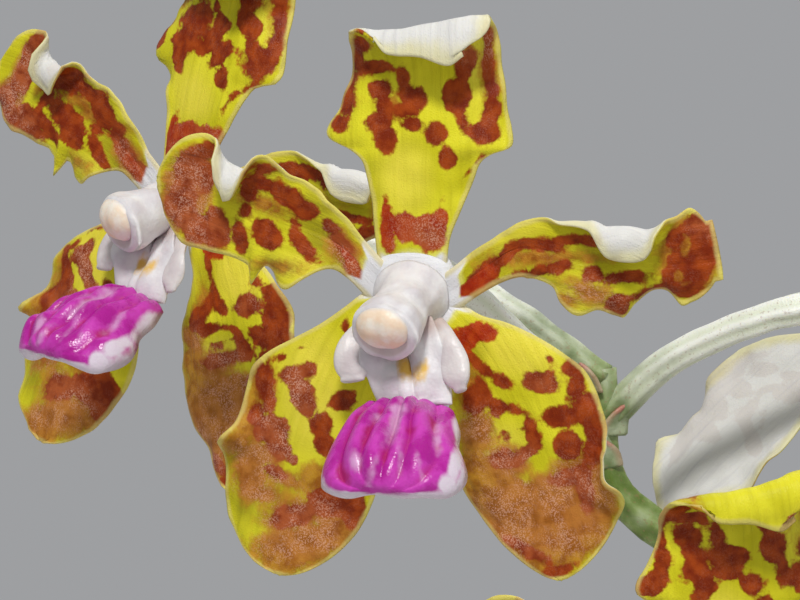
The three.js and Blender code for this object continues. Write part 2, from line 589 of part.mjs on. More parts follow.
// The bark: a packed core with loose-looking chunks over its top
function barkSolid(holes) {
  const random = seeded(7);
  const core = lathe([
    [0, POT.floor + BARK.seat], [potInside(POT.floor) - 1, POT.floor + BARK.seat],
    [potInside(BARK.top) - BARK.seat - 0.4, BARK.top - 2], [0, BARK.top],
  ], 24);
  const chunks = [];
  for (let k = 0; k < BARK.chunks; k += 1) {
    const radius = (potInside(BARK.top) - 9) * Math.sqrt((k + 0.6) / BARK.chunks);
    const angle = k * deg(137.5);
    const size = () => BARK.chunkSize * (0.6 + 0.7 * random());
    const chunk = new THREE.BoxGeometry(size(), size() * 0.8, size() * 0.55);
    chunk.rotateX(random() - 0.5).rotateY(random() - 0.5).rotateZ(6.3 * random());
    const lift = BARK.top + 1.5 * random();
    chunk.translate(radius * Math.cos(angle), radius * Math.sin(angle), lift);
    chunks.push(closedPrimitive(chunk));
  }
  const room = lathe([
    [0, POT.floor], [potInside(POT.floor) - BARK.seat, POT.floor + BARK.seat],
    [potInside(POT.height - 2) - BARK.seat, POT.height - 2], [0, POT.height - 2],
  ], 24);
  return cut(union([core, ...chunks]).intersect(room), holes);
}

// Materials, by the colour of each piece
const matte = (color, roughness = 0.6) => new THREE.MeshStandardMaterial({ color, roughness, metalness: 0 });
const MATERIALS = {
  clay: matte(0xb4643c, 0.85), bark: matte(0x5a3a22, 0.9), stem: matte(0x6d8a3a, 0.5),
  leaf: matte(0x3f6a24, 0.42), root: matte(0xb9bfae, 0.8), spike: matte(0xd6dcc0, 0.5),
  tepals: matte(0xc9b52c, 0.45), column: matte(0xf2efee, 0.45), lip_base: matte(0xf2efee, 0.45),
  lip_blade: matte(0xb0249a, 0.35),
};

function addPiece(name, body, material, parent = plant) {
  const made = body.getMesh();
  const points = [];
  for (let i = 0; i < made.numVert; i += 1) {
    points.push(vec(...made.vertProperties.subarray(i * made.numProp, i * made.numProp + 3)));
  }
  const piece = new THREE.Mesh(geometryFrom(points, Array.from(made.triVerts)), MATERIALS[material]);
  piece.name = name;
  parent.add(piece);
}

const stemRoom = stemSolid(GAP);
addPiece("pot", potSolid(), "clay");
addPiece("bark", barkSolid([stemRoom, ...ROOTS.map((places) => rootSolid(places, GAP))]), "bark");
addPiece("stem", stemSolid(), "stem");
addPiece("spike", cut(spikeSolid(), [stemRoom, ...STEM.spikeAxil.map((k) => leafSolid(k, GAP))]), "spike");
for (let k = 0; k < STEM.leaves; k += 1) {
  addPiece(`leaf_${String(k + 1).padStart(2, "0")}`, cut(leafSolid(k), [stemRoom]), "leaf");
}
ROOTS.forEach((places, k) => {
  addPiece(`root_${k + 1}`, cut(rootSolid(places), [stemRoom]), "root");
});
flowers.forEach((flower, k) => {
  for (const [part, body] of Object.entries(flowerPieces(BLOOMS[k].reflex))) {
    addPiece(`bloom_${k + 1}_${part}`, body, part, flower);
  }
});

export default plant;
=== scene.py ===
import itertools
import math

import bpy
import numpy as np
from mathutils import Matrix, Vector


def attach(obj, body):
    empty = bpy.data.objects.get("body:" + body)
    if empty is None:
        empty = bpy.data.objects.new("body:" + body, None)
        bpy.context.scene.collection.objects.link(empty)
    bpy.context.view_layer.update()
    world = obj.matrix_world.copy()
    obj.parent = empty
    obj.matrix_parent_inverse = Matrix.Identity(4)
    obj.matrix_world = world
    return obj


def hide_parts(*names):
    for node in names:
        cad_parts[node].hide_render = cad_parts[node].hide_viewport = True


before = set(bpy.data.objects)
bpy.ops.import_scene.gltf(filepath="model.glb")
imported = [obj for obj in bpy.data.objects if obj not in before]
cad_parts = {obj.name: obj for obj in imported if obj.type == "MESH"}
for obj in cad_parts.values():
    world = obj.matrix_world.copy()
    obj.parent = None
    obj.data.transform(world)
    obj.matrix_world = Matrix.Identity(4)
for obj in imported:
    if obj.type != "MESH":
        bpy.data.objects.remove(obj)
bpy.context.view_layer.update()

MM = 0.001
SPLINE_STEPS = 40


# Small tools
def vec(x, y, z):
    return np.array((x, y, z), float)


def unit(v):
    return v / np.maximum(np.linalg.norm(v, axis=-1, keepdims=True), 1e-9)


def smooth(x, low, high):
    s = np.clip((x - low) / (high - low), 0, 1)
    return s * s * (3 - 2 * s)


def hermite(s, start, end, out, into):
    """The cubic from start to end, with its slopes there, read at a share s of the way."""
    places = (2 * s**3 - 3 * s**2 + 1) * start + (3 * s**2 - 2 * s**3) * end
    return places + (s**3 - 2 * s**2 + s) * out + (s**3 - s**2) * into


def track(pairs, u):
    """A smooth curve through [place, value] pairs, read at u. A plain number is the same all along."""
    u = np.asarray(u, float)
    if np.isscalar(pairs):
        return np.full(u.shape, float(pairs))
    x, y = np.array(pairs, float).T
    order = np.arange(len(x))
    before, after = np.maximum(order - 1, 0), np.minimum(order + 1, len(x) - 1)
    slope = (y[after] - y[before]) / (x[after] - x[before])
    i = np.clip(np.searchsorted(x, u, side="right") - 1, 0, len(x) - 2)
    step = x[i + 1] - x[i]
    s = np.clip((u - x[i]) / step, 0, 1)
    return hermite(s, y[i], y[i + 1], step * slope[i], step * slope[i + 1])


def stacked(*values):
    """Values side by side along a last axis, each spread over all the places."""
    return np.stack(np.broadcast_arrays(*values), axis=-1)


def full_turn(steps):
    return np.arange(steps) * 2 * math.pi / steps


def circling(radius, angle):
    return radius * np.cos(angle), radius * np.sin(angle)


def turned(v, axis, degrees):
    a = np.radians(degrees)[..., None]
    along = axis * np.sum(axis * v, axis=-1, keepdims=True)
    return v * np.cos(a) + np.cross(axis, v) * np.sin(a) + along * (1 - np.cos(a))


def turn_matrix(axis, degrees):
    return turned(np.eye(3), np.eye(3)["xyz".index(axis)], np.full(3, float(degrees))).T


def ripple(points, size, seed, waves=9):
    """A smooth random field, about -1 to 1, whose bumps are about size across."""
    random = np.random.default_rng(seed)
    total = 0
    for _ in range(waves):
        direction = random.normal(size=points.shape[-1])
        direction *= 2 * math.pi / (size * np.linalg.norm(direction)) * random.uniform(0.7, 1.5)
        total = total + np.sin(points @ direction + random.uniform(0, 2 * math.pi))
    return total / math.sqrt(waves)


def smooth_path(places, rows):
    """Points and directions at even steps along a centripetal spline, as the CAD model's."""
    p = np.array(places, float)
    p = np.vstack([2 * p[0] - p[1], p, 2 * p[-1] - p[-2]])
    gaps = np.sqrt(np.linalg.norm(np.diff(p, axis=0), axis=1))
    s = np.linspace(0, 1, SPLINE_STEPS, endpoint=False)[:, None]
    spans = []
    for i in range(1, len(p) - 2):
        a, b, c = gaps[i - 1 : i + 2]
        x0, x1, x2, x3 = p[i - 1 : i + 3]
        out = b * ((x1 - x0) / a - (x2 - x0) / (a + b) + (x2 - x1) / b)
        into = b * ((x2 - x1) / b - (x3 - x1) / (b + c) + (x3 - x2) / c)
        spans.append(hermite(s, x1, x2, out, into))
    line = np.vstack([*spans, p[-2:-1]])
    length = np.concatenate([[0], np.cumsum(np.linalg.norm(np.diff(line, axis=0), axis=1))])
    even = np.linspace(0, length[-1], rows + 1)
    points = np.stack([np.interp(even, length, line[:, k]) for k in range(3)], axis=1)
    return points, unit(np.gradient(points, axis=0))


# Shapes: each is a dict of points, faces and fields, which are values kept at its points
def shape(points, faces, **fields):
    return {"points": points, "faces": faces, "fields": fields}


def joined(shapes):
    faces = []
    start = 0
    for part in shapes:
        faces.extend(tuple(start + k for k in face) for face in part["faces"])
        start += len(part["points"])
    fields = {}
    for name in shapes[0]["fields"]:
        fields[name] = np.concatenate([part["fields"][name] for part in shapes])
    return shape(np.concatenate([part["points"] for part in shapes]), faces, **fields)


def normals(grid):
    return unit(np.cross(np.gradient(grid, axis=0), np.gradient(grid, axis=1)))


def closed_sheet(grid, half):
    """A sheet round a grid of points, half a thickness to each side, with a rounded rim."""
    n, m, _ = grid.shape
    rim = [(0, j) for j in range(m - 1)] + [(i, m - 1) for i in range(n - 1)]
    rim += [(n - 1, j) for j in range(m - 1, 0, -1)] + [(i, 0) for i in range(n - 1, 0, -1)]
    middle = []
    for i, j in rim:
        inner = grid[min(max(i, 1), n - 2), min(max(j, 1), m - 2)]
        middle.append(grid[i, j] + unit(grid[i, j] - inner) * half[i, j])
    lift = normals(grid) * half[..., None]
    points = np.vstack([(grid + lift).reshape(-1, 3), (grid - lift).reshape(-1, 3), middle])
    faces = []
    back = n * m
    for i in range(n - 1):
        for j in range(m - 1):
            a = i * m + j
            faces.append((a, a + m, a + m + 1, a + 1))
            faces.append((a + back, a + 1 + back, a + m + 1 + back, a + m + back))
    for k, (i, j) in enumerate(rim):
        after = (k + 1) % len(rim)
        a, b = i * m + j, rim[after][0] * m + rim[after][1]
        mid_a, mid_b = 2 * back + k, 2 * back + after
        faces.append((a, b, mid_b, mid_a))
        faces.append((mid_a, mid_b, b + back, a + back))
    return points, faces, rim


def sheet_field(values, rim):
    """A value at each grid point as a field of the closed sheet round it."""
    flat = values.reshape(values.shape[0] * values.shape[1], *values.shape[2:])
    return np.concatenate([flat, flat, [values[i, j] for i, j in rim]])


def lofted(rings):
    """Points and faces of closed rings, one after another, with a middle point at each end."""
    n, m, _ = rings.shape
    points = np.vstack([rings.reshape(-1, 3), rings[0].mean(axis=0), rings[-1].mean(axis=0)])
    faces = []
    for i in range(n - 1):
        for j in range(m):
            a, b = i * m + j, i * m + (j + 1) % m
            faces.append((a, b, b + m, a + m))
    for j in range(m):
        k = (j + 1) % m
        faces.append((n * m, k, j))
        faces.append((n * m + 1, (n - 1) * m + j, (n - 1) * m + k))
    return points, faces


def sided_field(first, second, behind, rim):
    """Two values of a sheet and which side it is: 1 in front, half at the rim and behind at the back."""
    values = stacked(first, second, 1.0)
    count = values.shape[0] * values.shape[1]
    field = sheet_field(values, rim)
    field[count : 2 * count, 2] = np.broadcast_to(behind, values.shape[:2]).ravel()
    field[2 * count :, 2] = 0.5
    return field


def loft_field(values):
    """A value for each ring point as a field of the loft."""
    ends = [values[0].mean(axis=0), values[-1].mean(axis=0)]
    return np.concatenate([values.reshape(-1, *values.shape[2:]), ends])


def swept(places, up, rows, around, section):
    """Rings along a smooth path; section(v, angle) gives side and rise for the whole grid."""
    points, along = smooth_path(places, rows)
    side = unit(np.cross(along, up))
    rise = np.cross(side, along)
    v, angle = np.meshgrid(np.linspace(0, 1, rows + 1), full_turn(around), indexing="ij")
    x, y = section(v, angle)
    rings = points[:, None] + x[..., None] * side[:, None] + y[..., None] * rise[:, None]
    return rings, v, angle


def new_mesh(name, points, faces):
    mesh = bpy.data.meshes.new(name)
    mesh.from_pydata((points * MM).tolist(), [], faces)
    return mesh


def new_object(name, data):
    made = bpy.data.objects.new(name, data)
    bpy.context.collection.objects.link(made)
    return made


def make_piece(name, part, material, nodes, flat=False):
    mesh = new_mesh(name, part["points"], part["faces"])
    for field, values in part["fields"].items():
        kind, key = ("FLOAT_VECTOR", "vector") if values.ndim == 2 else ("FLOAT", "value")
        attribute = mesh.attributes.new(field, kind, "POINT")
        attribute.data.foreach_set(key, values.astype(np.float32).ravel())
    mesh.update()
    if not flat:
        mesh.shade_smooth()
    piece = new_object(name, mesh)
    mesh.materials.append(material)
    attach(piece, "root")
    if nodes:
        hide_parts(*nodes)
    return piece


# Materials
def linear(level):
    share = level / 255
    return ((share + 0.055) / 1.055) ** 2.4 if level > 10 else share / 12.92


def srgb(red, green, blue):
    return linear(red), linear(green), linear(blue), 1.0


class Finish:
    """A procedural material: a Principled shader and the nodes that feed it."""

    def __init__(self, name, **constants):
        self.material = bpy.data.materials.new(name)
        self.material.use_nodes = True
        self.tree = self.material.node_tree
        self.tree.nodes.clear()
        self.shader = self.add("BsdfPrincipled", **constants)
        output = self.add("OutputMaterial")
        self.tree.links.new(self.shader.outputs[0], output.inputs["Surface"])

    def add(self, kind, settings=(), **inputs):
        node = self.tree.nodes.new("ShaderNode" + kind)
        for key, value in dict(settings).items():
            setattr(node, key, value)
        for key, value in inputs.items():
            self.feed(node.inputs[key.replace("_", " ")], value)
        return node

    def feed(self, socket, value):
        if isinstance(value, bpy.types.NodeSocket):
            self.tree.links.new(value, socket)
        else:
            socket.default_value = value

    def set(self, **inputs):
        for key, value in inputs.items():
            self.feed(self.shader.inputs[key.replace("_", " ")], value)

    def field(self, name):
        return self.add("Attribute", {"attribute_name": name}).outputs["Vector"]

    def number(self, name):
        return self.add("Attribute", {"attribute_name": name}).outputs["Fac"]

    def parts(self, vector):
        return list(self.add("SeparateXYZ", Vector=vector).outputs)

    def place(self):
        """The place on the object in millimetres."""
        return self.scaled(self.add("TexCoord").outputs["Object"], 1000, 1000, 1000)

    def scaled(self, vector, x, y, z):
        node = self.add("VectorMath", {"operation": "MULTIPLY"})
        self.feed(node.inputs[0], vector)
        node.inputs[1].default_value = (x, y, z)
        return node.outputs[0]

    def noise(self, vector, scale, detail=2.0, rough=0.5):
        node = self.add("TexNoise", Vector=vector, Scale=scale, Detail=detail, Roughness=rough)
        return node.outputs["Fac"]

    def cells(self, vector, scale, feature="F1", output="Distance"):
        node = self.add("TexVoronoi", {"feature": feature}, Vector=vector, Scale=scale)
        return node.outputs[output]

    def sum(self, *terms):
        return self.chain("ADD", terms)

    def product(self, *terms):
        return self.chain("MULTIPLY", terms)

    def chain(self, operation, terms):
        total = terms[0]
        for term in terms[1:]:
            node = self.add("Math", {"operation": operation})
            self.feed(node.inputs[0], total)
            self.feed(node.inputs[1], term)
            total = node.outputs[0]
        return total

    def span(self, value, low, high, start=0.0, end=1.0):
        """value from low to high, eased into start to end."""
        node = self.add("MapRange", {"interpolation_type": "SMOOTHSTEP"}, Value=value)
        self.feed(node.inputs["From Min"], low)
        self.feed(node.inputs["From Max"], high)
        self.feed(node.inputs["To Min"], start)
        self.feed(node.inputs["To Max"], end)
        return node.outputs["Result"]

    def streaks(self, vector, scales, detail=3, rough=0.5):
        """Noise with its own scale along each axis."""
        return self.noise(self.scaled(vector, *scales), 1.0, detail, rough)

    def spread(self, noise, size):
        """A noise moved from about a half to about nothing, and scaled."""
        return self.product(self.sum(noise, -0.5), size)

    def blend(self, share, first, second):
        """A mix of two colours, each from a node or given as red, green and blue up to 255."""
        node = self.add("Mix", {"data_type": "RGBA"})
        self.feed(node.inputs[0], share)
        for socket, colour in zip(node.inputs[6:8], (first, second)):
            self.feed(socket, srgb(*colour) if isinstance(colour, tuple) else colour)
        return node.outputs[2]

    def tones(self, value, low, high, first, second):
        return self.blend(self.span(value, low, high), first, second)

    def layers(self, colour, *covers):
        """A colour with others laid over it in turn, each after its share."""
        for share, cover in covers:
            colour = self.blend(share, colour, cover)
        return colour

    def bump(self, height, depth, normal=None):
        """A normal for a height from 0 to 1 that stands for so many millimetres."""
        node = self.add("Bump", Height=height, Distance=depth * MM)
        node.inputs["Strength"].default_value = 1.0
        if normal is not None:
            self.feed(node.inputs["Normal"], normal)
        return node.outputs[0]

    def glow(self, weight, depth, *radius):
        """Light that soaks in, so many millimetres deep."""
        self.set(Subsurface_Weight=weight, Subsurface_Scale=depth * MM, Subsurface_Radius=radius)


WHITE = (236, 235, 236)
CREAM = (222, 215, 168)


def tepal_finish():
    f = Finish("spotted_tepal", Roughness=0.42, Specular_IOR_Level=0.14)
    mark, wash, patch = f.parts(f.field("pattern"))
    pale, rim, front = f.parts(f.field("zone"))
    # Painted light and shade: sparkle that stands for highlights glinting on the brown tissue, lighter
    # yellow where the light falls brightest and on the paler neck, and olive painted shade where shadows
    # fall
    painted_sparkle, light, painted_shade = f.parts(f.field("tint"))
    grain = f.field("grain")
    veins = f.streaks(grain, (0.12, 1.6, 1))
    broad = f.noise(grain, 0.2, 2)
    middling = f.noise(grain, 0.8, 3)
    ragged = f.sum(f.spread(middling, 1.0), f.spread(f.noise(grain, 3.0, 2), 0.3))
    yellow = f.layers(
        f.tones(broad, 0.36, 0.62, (202, 194, 26), (226, 218, 44)),
        (f.span(veins, 0.45, 0.75, 0, 0.4), (176, 166, 18)),
        # The lighter yellow is partly the paler neck and partly painted light; the olive is painted shade
        (f.product(light, f.span(veins, 0.3, 0.7, 1, 0.7)), (233, 218, 70)),
        (f.product(painted_shade, f.span(veins, 0.3, 0.7, 0.65, 0.95)), (152, 140, 22)),
        (f.span(pale, 0.02, 0.42, 0, 0.75), (236, 232, 120)),
    )
    orange = f.tones(middling, 0.35, 0.65, (142, 58, 14), (190, 128, 38))
    brown = f.tones(middling, 0.35, 0.7, (124, 38, 4), (164, 68, 15))
    red = f.tones(middling, 0.35, 0.7, (156, 36, 3), (184, 68, 16))
    washed = f.span(f.sum(wash, ragged), 0.15, 0.75, 0, 0.88)
    marked = f.span(f.sum(mark, ragged), -0.14, 0.16)
    patched = f.span(f.sum(patch, ragged), -0.12, 0.16)
    # Painted glints: pale specks that stand for highlights on the brown tissue, one to a cell, thick where
    # the tissue is granular
    seeds = f.parts(f.cells(grain, 10.0, output="Color"))[0]
    painted_glint = f.product(f.span(seeds, 0.5, 0.75), f.span(f.noise(grain, 0.5, 2), 0.35, 0.62))
    dark = f.chain("MAXIMUM", (marked, patched, f.span(wash, 0.25, 0.7, 0, 0.9)))
    edge = f.span(f.sum(rim, f.product(ragged, 0.3)), 0.1, 0.5, 1, 0)
    colour = f.layers(
        yellow,
        (washed, orange),
        (marked, brown),
        (patched, red),
        # Painted sheen: pinkish tan where highlights fall on the granular brown tissue
        (f.product(painted_sparkle, dark, f.span(middling, 0.3, 0.6, 0.15, 0.6)), (182, 100, 58)),
        (f.product(painted_glint, dark, f.sum(f.product(painted_sparkle, 0.42), 0.05)), (238, 186, 160)),
        (f.span(f.sum(pale, f.product(ragged, 0.4)), 0.36, 0.7), WHITE),
        (f.product(edge, 0.6), (222, 206, 124)),
    )
    behind = f.layers(
        (222, 220, 214),
        (f.span(f.sum(rim, ragged), 0.2, 1.7, 0.9, 0), CREAM),
        (f.product(marked, 0.14), (150, 96, 76)),
        (f.span(veins, 0.5, 0.75, 0, 0.3), (176, 174, 178)),
    )
    cell = f.cells(grain, 5.5)
    f.set(Base_Color=f.tones(front, 0.35, 0.6, behind, colour))
    f.set(Roughness=f.span(cell, 0.1, 0.6, 0.32, 0.5))
    f.set(Normal=f.bump(f.span(cell, 0, 0.6, 1, 0), 0.02, f.bump(veins, 0.14)))
    f.glow(0.04, 0.6, 1.0, 0.7, 0.3)
    return f.material


def white_finish():
    f = Finish("white_flower", Roughness=0.4, Specular_IOR_Level=0.35)
    spot, line, shade = f.parts(f.field("foot"))
    place = f.place()
    soft = f.noise(place, 0.5, 3)
    ragged = f.spread(f.noise(place, 2.0, 2), 0.5)
    colour = f.layers(
        f.tones(soft, 0.35, 0.7, (232, 229, 228), (214, 208, 210)),
        (f.span(shade, 0, 1, 0, 0.8), (190, 168, 156)),
        (f.span(f.sum(spot, ragged), -0.35, 0.3, 0, 0.9), (226, 178, 30)),
        (f.span(f.sum(line, ragged), -0.2, 0.2, 0, 0.8), (178, 52, 76)),
    )
    f.set(Base_Color=colour, Roughness=f.span(soft, 0.3, 0.7, 0.34, 0.5))
    f.set(Normal=f.bump(f.cells(place, 3.5), 0.02, f.bump(soft, 0.15)))
    f.glow(0.12, 1.2, 1.0, 0.7, 0.6)
    return f.material


def cap_finish():
    f = Finish("anther_cap", Roughness=0.4, Specular_IOR_Level=0.35)
    place = f.place()
    soft = f.noise(place, 0.6, 3)
    colour = f.tones(soft, 0.35, 0.65, (252, 240, 224), (246, 218, 188))
    f.set(Base_Color=f.blend(f.number("edge"), colour, (230, 224, 220)))
    f.set(Normal=f.bump(f.cells(place, 4.0), 0.02, f.bump(soft, 0.1)))
    f.glow(0.2, 1.2, 1.0, 0.7, 0.5)
    return f.material


def lip_finish():
    f = Finish("lip_magenta", Roughness=0.3, Specular_IOR_Level=0.4)
    pale, margin, furrow = f.parts(f.field("hue"))
    place = f.place()
    soft = f.noise(place, 0.42, 3)
    ragged = f.spread(f.noise(place, 1.0, 3), 0.8)
    colour = f.layers(
        f.tones(soft, 0.35, 0.62, (174, 22, 144), (202, 60, 178)),
        (f.span(f.sum(furrow, f.spread(soft, 1.6)), 0.15, 0.7, 0, 0.85), (168, 4, 84)),
        (f.span(f.sum(pale, ragged), -0.25, 0.45, 0, 0.72), (220, 176, 212)),
        (f.span(f.number("rosy"), 0.0, 0.8, 0, 0.85), (196, 96, 112)),
        (f.span(f.sum(margin, f.product(ragged, 0.6)), -0.12, 0.3), (222, 208, 220)),
    )
    f.set(Base_Color=colour, Roughness=f.span(soft, 0.3, 0.7, 0.22, 0.38))
    f.set(Normal=f.bump(f.cells(place, 4.5), 0.02, f.bump(soft, 0.12)))
    f.glow(0.06, 0.8, 1.0, 0.4, 0.8)
    return f.material


# The flower: the same blades as the CAD model's, with fine rows and columns
FOLD, CURL_SPAN = 0.62, 0.35  # where a blade starts to curl across, and over how much
TIP_LEAST = 0.12
FINE_STEPS = 240
SECTION_STEPS = 24
TEPAL_HALF = 0.36
TEPAL_WAVES = [(0.34, 6.5), (0.1, 2.2), (0.07, 3.5)]  # heights and lengths: two at the edges, one all over
PATTERN_STEP = 7.0  # how far apart the patterns of two seeds lie
PICTURE = {"scale": 3920.0, "camera": vec(-101.16, -412.0, 378.66), "width": 800, "height": 600}
PIXEL = 1 / 11.2  # millimetres at the first flower
OUTSIDE = -3.0  # millimetres, the furthest that counts
MARK_DRIFT = 9  # pixels by which markings stray on the other flowers

TEPALS = {
    "dorsal": {
        "azimuth": 89, "start": (0, 1.2, 0), "length": 25, "tipFrom": 0.88, "tipLeast": 0.55,
        "widthLeft": [
            [0, 3], [0.12, 3.2], [0.26, 3.5], [0.34, 4], [0.4, 4.5], [0.44, 5.8], [0.475, 8], [0.52, 8.3],
            [0.6, 7.2], [0.7, 6.3], [0.8, 5.7], [0.86, 5.1], [0.92, 4.6], [1, 4.4],
        ],
        "widthRight": [
            [0, 3], [0.12, 3.4], [0.24, 4.6], [0.34, 5.6], [0.4, 6.2], [0.43, 7.2], [0.455, 8.9],
            [0.52, 8.9], [0.62, 8.3], [0.78, 8.1], [0.88, 7.8], [1, 10.4],
        ],
        "bend": [[0, 10], [0.2, 2], [0.5, -4], [0.75, 2], [0.86, 50], [0.93, 140], [1, 165]],
        "sway": [[0, 0], [0.6, 0], [0.8, 8], [1, 4]], "cup": [[0, 0], [0.4, 4], [0.8, -4], [1, 0]],
        "curlLeft": [[0, 0], [0.3, -10], [0.5, -30], [0.75, -30], [0.85, -10], [1, 0]],
        "curlRight": [[0, 0], [0.3, -10], [0.5, -30], [0.75, -30], [0.85, -10], [1, 0]],
        "notch": [[-1, 0.4], [-0.75, 1.1], [-0.3, 0.1], [0.2, -0.2], [0.6, -0.5], [1, -1.6]],
    },
    "petal_left": {
        "azimuth": 133, "start": (-2.4, -0.6, 0), "length": 24.4, "tipFrom": 0.78,
        "widthLeft": [
            [0, 1.6], [0.14, 1.7], [0.22, 2.2], [0.3, 4.4], [0.36, 5.8], [0.42, 5.9], [0.47, 5.1],
            [0.5, 5], [0.535, 7], [0.57, 5.3], [0.72, 5], [0.82, 5.4], [0.92, 5.9], [1, 6.8],
        ],
        "widthRight": [
            [0, 1.6], [0.12, 1.6], [0.2, 1.9], [0.3, 3], [0.4, 4], [0.47, 4], [0.52, 4.2], [0.58, 5.2],
            [0.63, 5.6], [0.67, 6.3], [0.73, 6.3], [0.8, 5.2], [0.92, 4.9], [1, 3.6],
        ],
        "bend": [[0, 12], [0.2, 4], [0.6, -6], [1, -4]],
        "sway": [[0, -4], [0.15, 0], [0.35, 22], [0.5, 28], [0.65, 28], [0.8, 28], [0.9, 38], [1, 46]],
        "cup": [[0, 0], [0.3, 14], [0.7, 4], [1, 0]],
        "foldRight": [[0, 0.62], [0.6, 0.62], [0.66, 0.54], [0.73, 0.56], [0.8, 0.62], [1, 0.62]],
        "curlLeft": [[0, 0], [0.3, 0], [0.44, -40], [0.5, -30], [0.535, -30], [0.6, -20], [1, 0]],
        "curlRight": [
            [0, 0], [0.3, 10], [0.5, 20], [0.6, 50], [0.66, 180], [0.73, 180], [0.8, 40], [1, 0],
        ],
    },
    "petal_right": {
        "azimuth": 32, "start": (2.4, -1.3, 0), "length": 26.8, "tipFrom": 0.88, "tipLeast": 0.6,
        "widthLeft": [
            [0, 1.5], [0.12, 1.6], [0.2, 1.7], [0.3, 1.7], [0.36, 2.3], [0.42, 3], [0.5, 4], [0.57, 4.7],
            [0.62, 5.9], [0.67, 6.8], [0.73, 6.8], [0.78, 5.7], [0.82, 4.5], [0.87, 3.9], [0.93, 4.8],
            [1, 5.2],
        ],
        "widthRight": [
            [0, 1.5], [0.19, 1.7], [0.34, 2.6], [0.42, 2.7], [0.48, 3], [0.52, 4.1], [0.56, 4.9],
            [0.6, 4.3], [0.65, 4.9], [0.685, 5.2], [0.72, 4], [0.77, 2.9], [0.82, 2.7], [0.865, 4],
            [0.9, 3.8], [0.95, 3.6], [1, 3.6],
        ],
        "bend": [[0, 12], [0.2, 4], [0.6, -4], [1, -4]],
        "sway": [
            [0, 0], [0.28, -2], [0.4, -42], [0.5, -50], [0.6, -34], [0.7, -32], [0.85, -30], [1, -22],
        ],
        "cup": [[0, 0], [0.3, 12], [0.7, 4], [1, 0]],
        "foldLeft": [
            [0, 0.62], [0.44, 0.85], [0.57, 0.76], [0.64, 0.56], [0.76, 0.54], [0.82, 0.6], [1, 0.62],
        ],
        "curlLeft": [
            [0, 0], [0.3, 10], [0.4, 20], [0.46, 110], [0.57, 140], [0.64, 175], [0.7, 180], [0.76, 180],
            [0.82, 80], [0.88, 10], [1, 0],
        ],
        "curlRight": [[0, 0], [0.3, 0], [0.5, -30], [0.8, -20], [1, 0]],
    },
    "sepal_left": {
        "azimuth": 230, "start": (-3, -1.6, 0), "length": 27, "tipFrom": 0.76,
        "widthLeft": [
            [0, 2.4], [0.18, 3.4], [0.36, 5.2], [0.54, 7], [0.66, 7], [0.73, 6.6], [0.8, 6.1],
            [0.87, 5.6], [1, 4.6],
        ],
        "widthRight": [
            [0, 1.6], [0.1, 2.4], [0.18, 3.4], [0.25, 4.9], [0.3, 6.1], [0.36, 7.1], [0.42, 7.4],
            [0.5, 7.1], [0.55, 7.1], [0.595, 7.9], [0.64, 8.1], [0.7, 7.2], [0.8, 6.6], [0.88, 6.3],
            [1, 5.2],
        ],
        "bend": [[0, 10], [0.2, 4], [0.6, -4], [1, 6]],
        "sway": [[0, 0], [0.15, 6], [0.3, 15], [0.5, 20], [0.7, 24], [1, 28]],
        "curlLeft": [[0, 0], [0.3, -10], [0.6, -30], [1, 0]],
        "curlRight": [[0, 0], [0.3, -10], [0.5, -10], [0.6, 30], [0.66, -20], [1, 0]],
    },
    "sepal_right": {
        "azimuth": 318, "start": (2.6, -2.2, 0), "length": 26.8, "tipFrom": 0.74,
        "widthLeft": [
            [0, 1.4], [0.1, 2.1], [0.17, 3.6], [0.25, 5.2], [0.32, 6.5], [0.4, 7.7], [0.52, 7.7],
            [0.58, 7.6], [0.64, 6.9], [0.7, 6.9], [0.76, 7.2], [0.82, 7], [0.9, 6], [1, 4.6],
        ],
        "widthRight": [
            [0, 2], [0.17, 2.8], [0.32, 5], [0.49, 7], [0.665, 6.9], [0.8, 5.4], [0.9, 4.4], [1, 3.6],
        ],
        "bend": [[0, 10], [0.2, 4], [0.6, -4], [1, 6]],
        "sway": [[0, 0], [0.12, -8], [0.25, -17], [0.4, -25], [0.6, -30], [0.75, -33], [1, -38]],
        "foldLeft": [[0, 0.62], [0.5, 0.8], [0.7, 0.85], [0.8, 0.62], [1, 0.62]],
        "curlLeft": [
            [0, 0], [0.3, -10], [0.5, -20], [0.56, 0], [0.62, 70], [0.7, 80], [0.77, 10], [0.82, -20],
            [1, 0],
        ],
        "curlRight": [[0, 0], [0.3, -10], [0.6, -30], [1, 0]],
    },
}
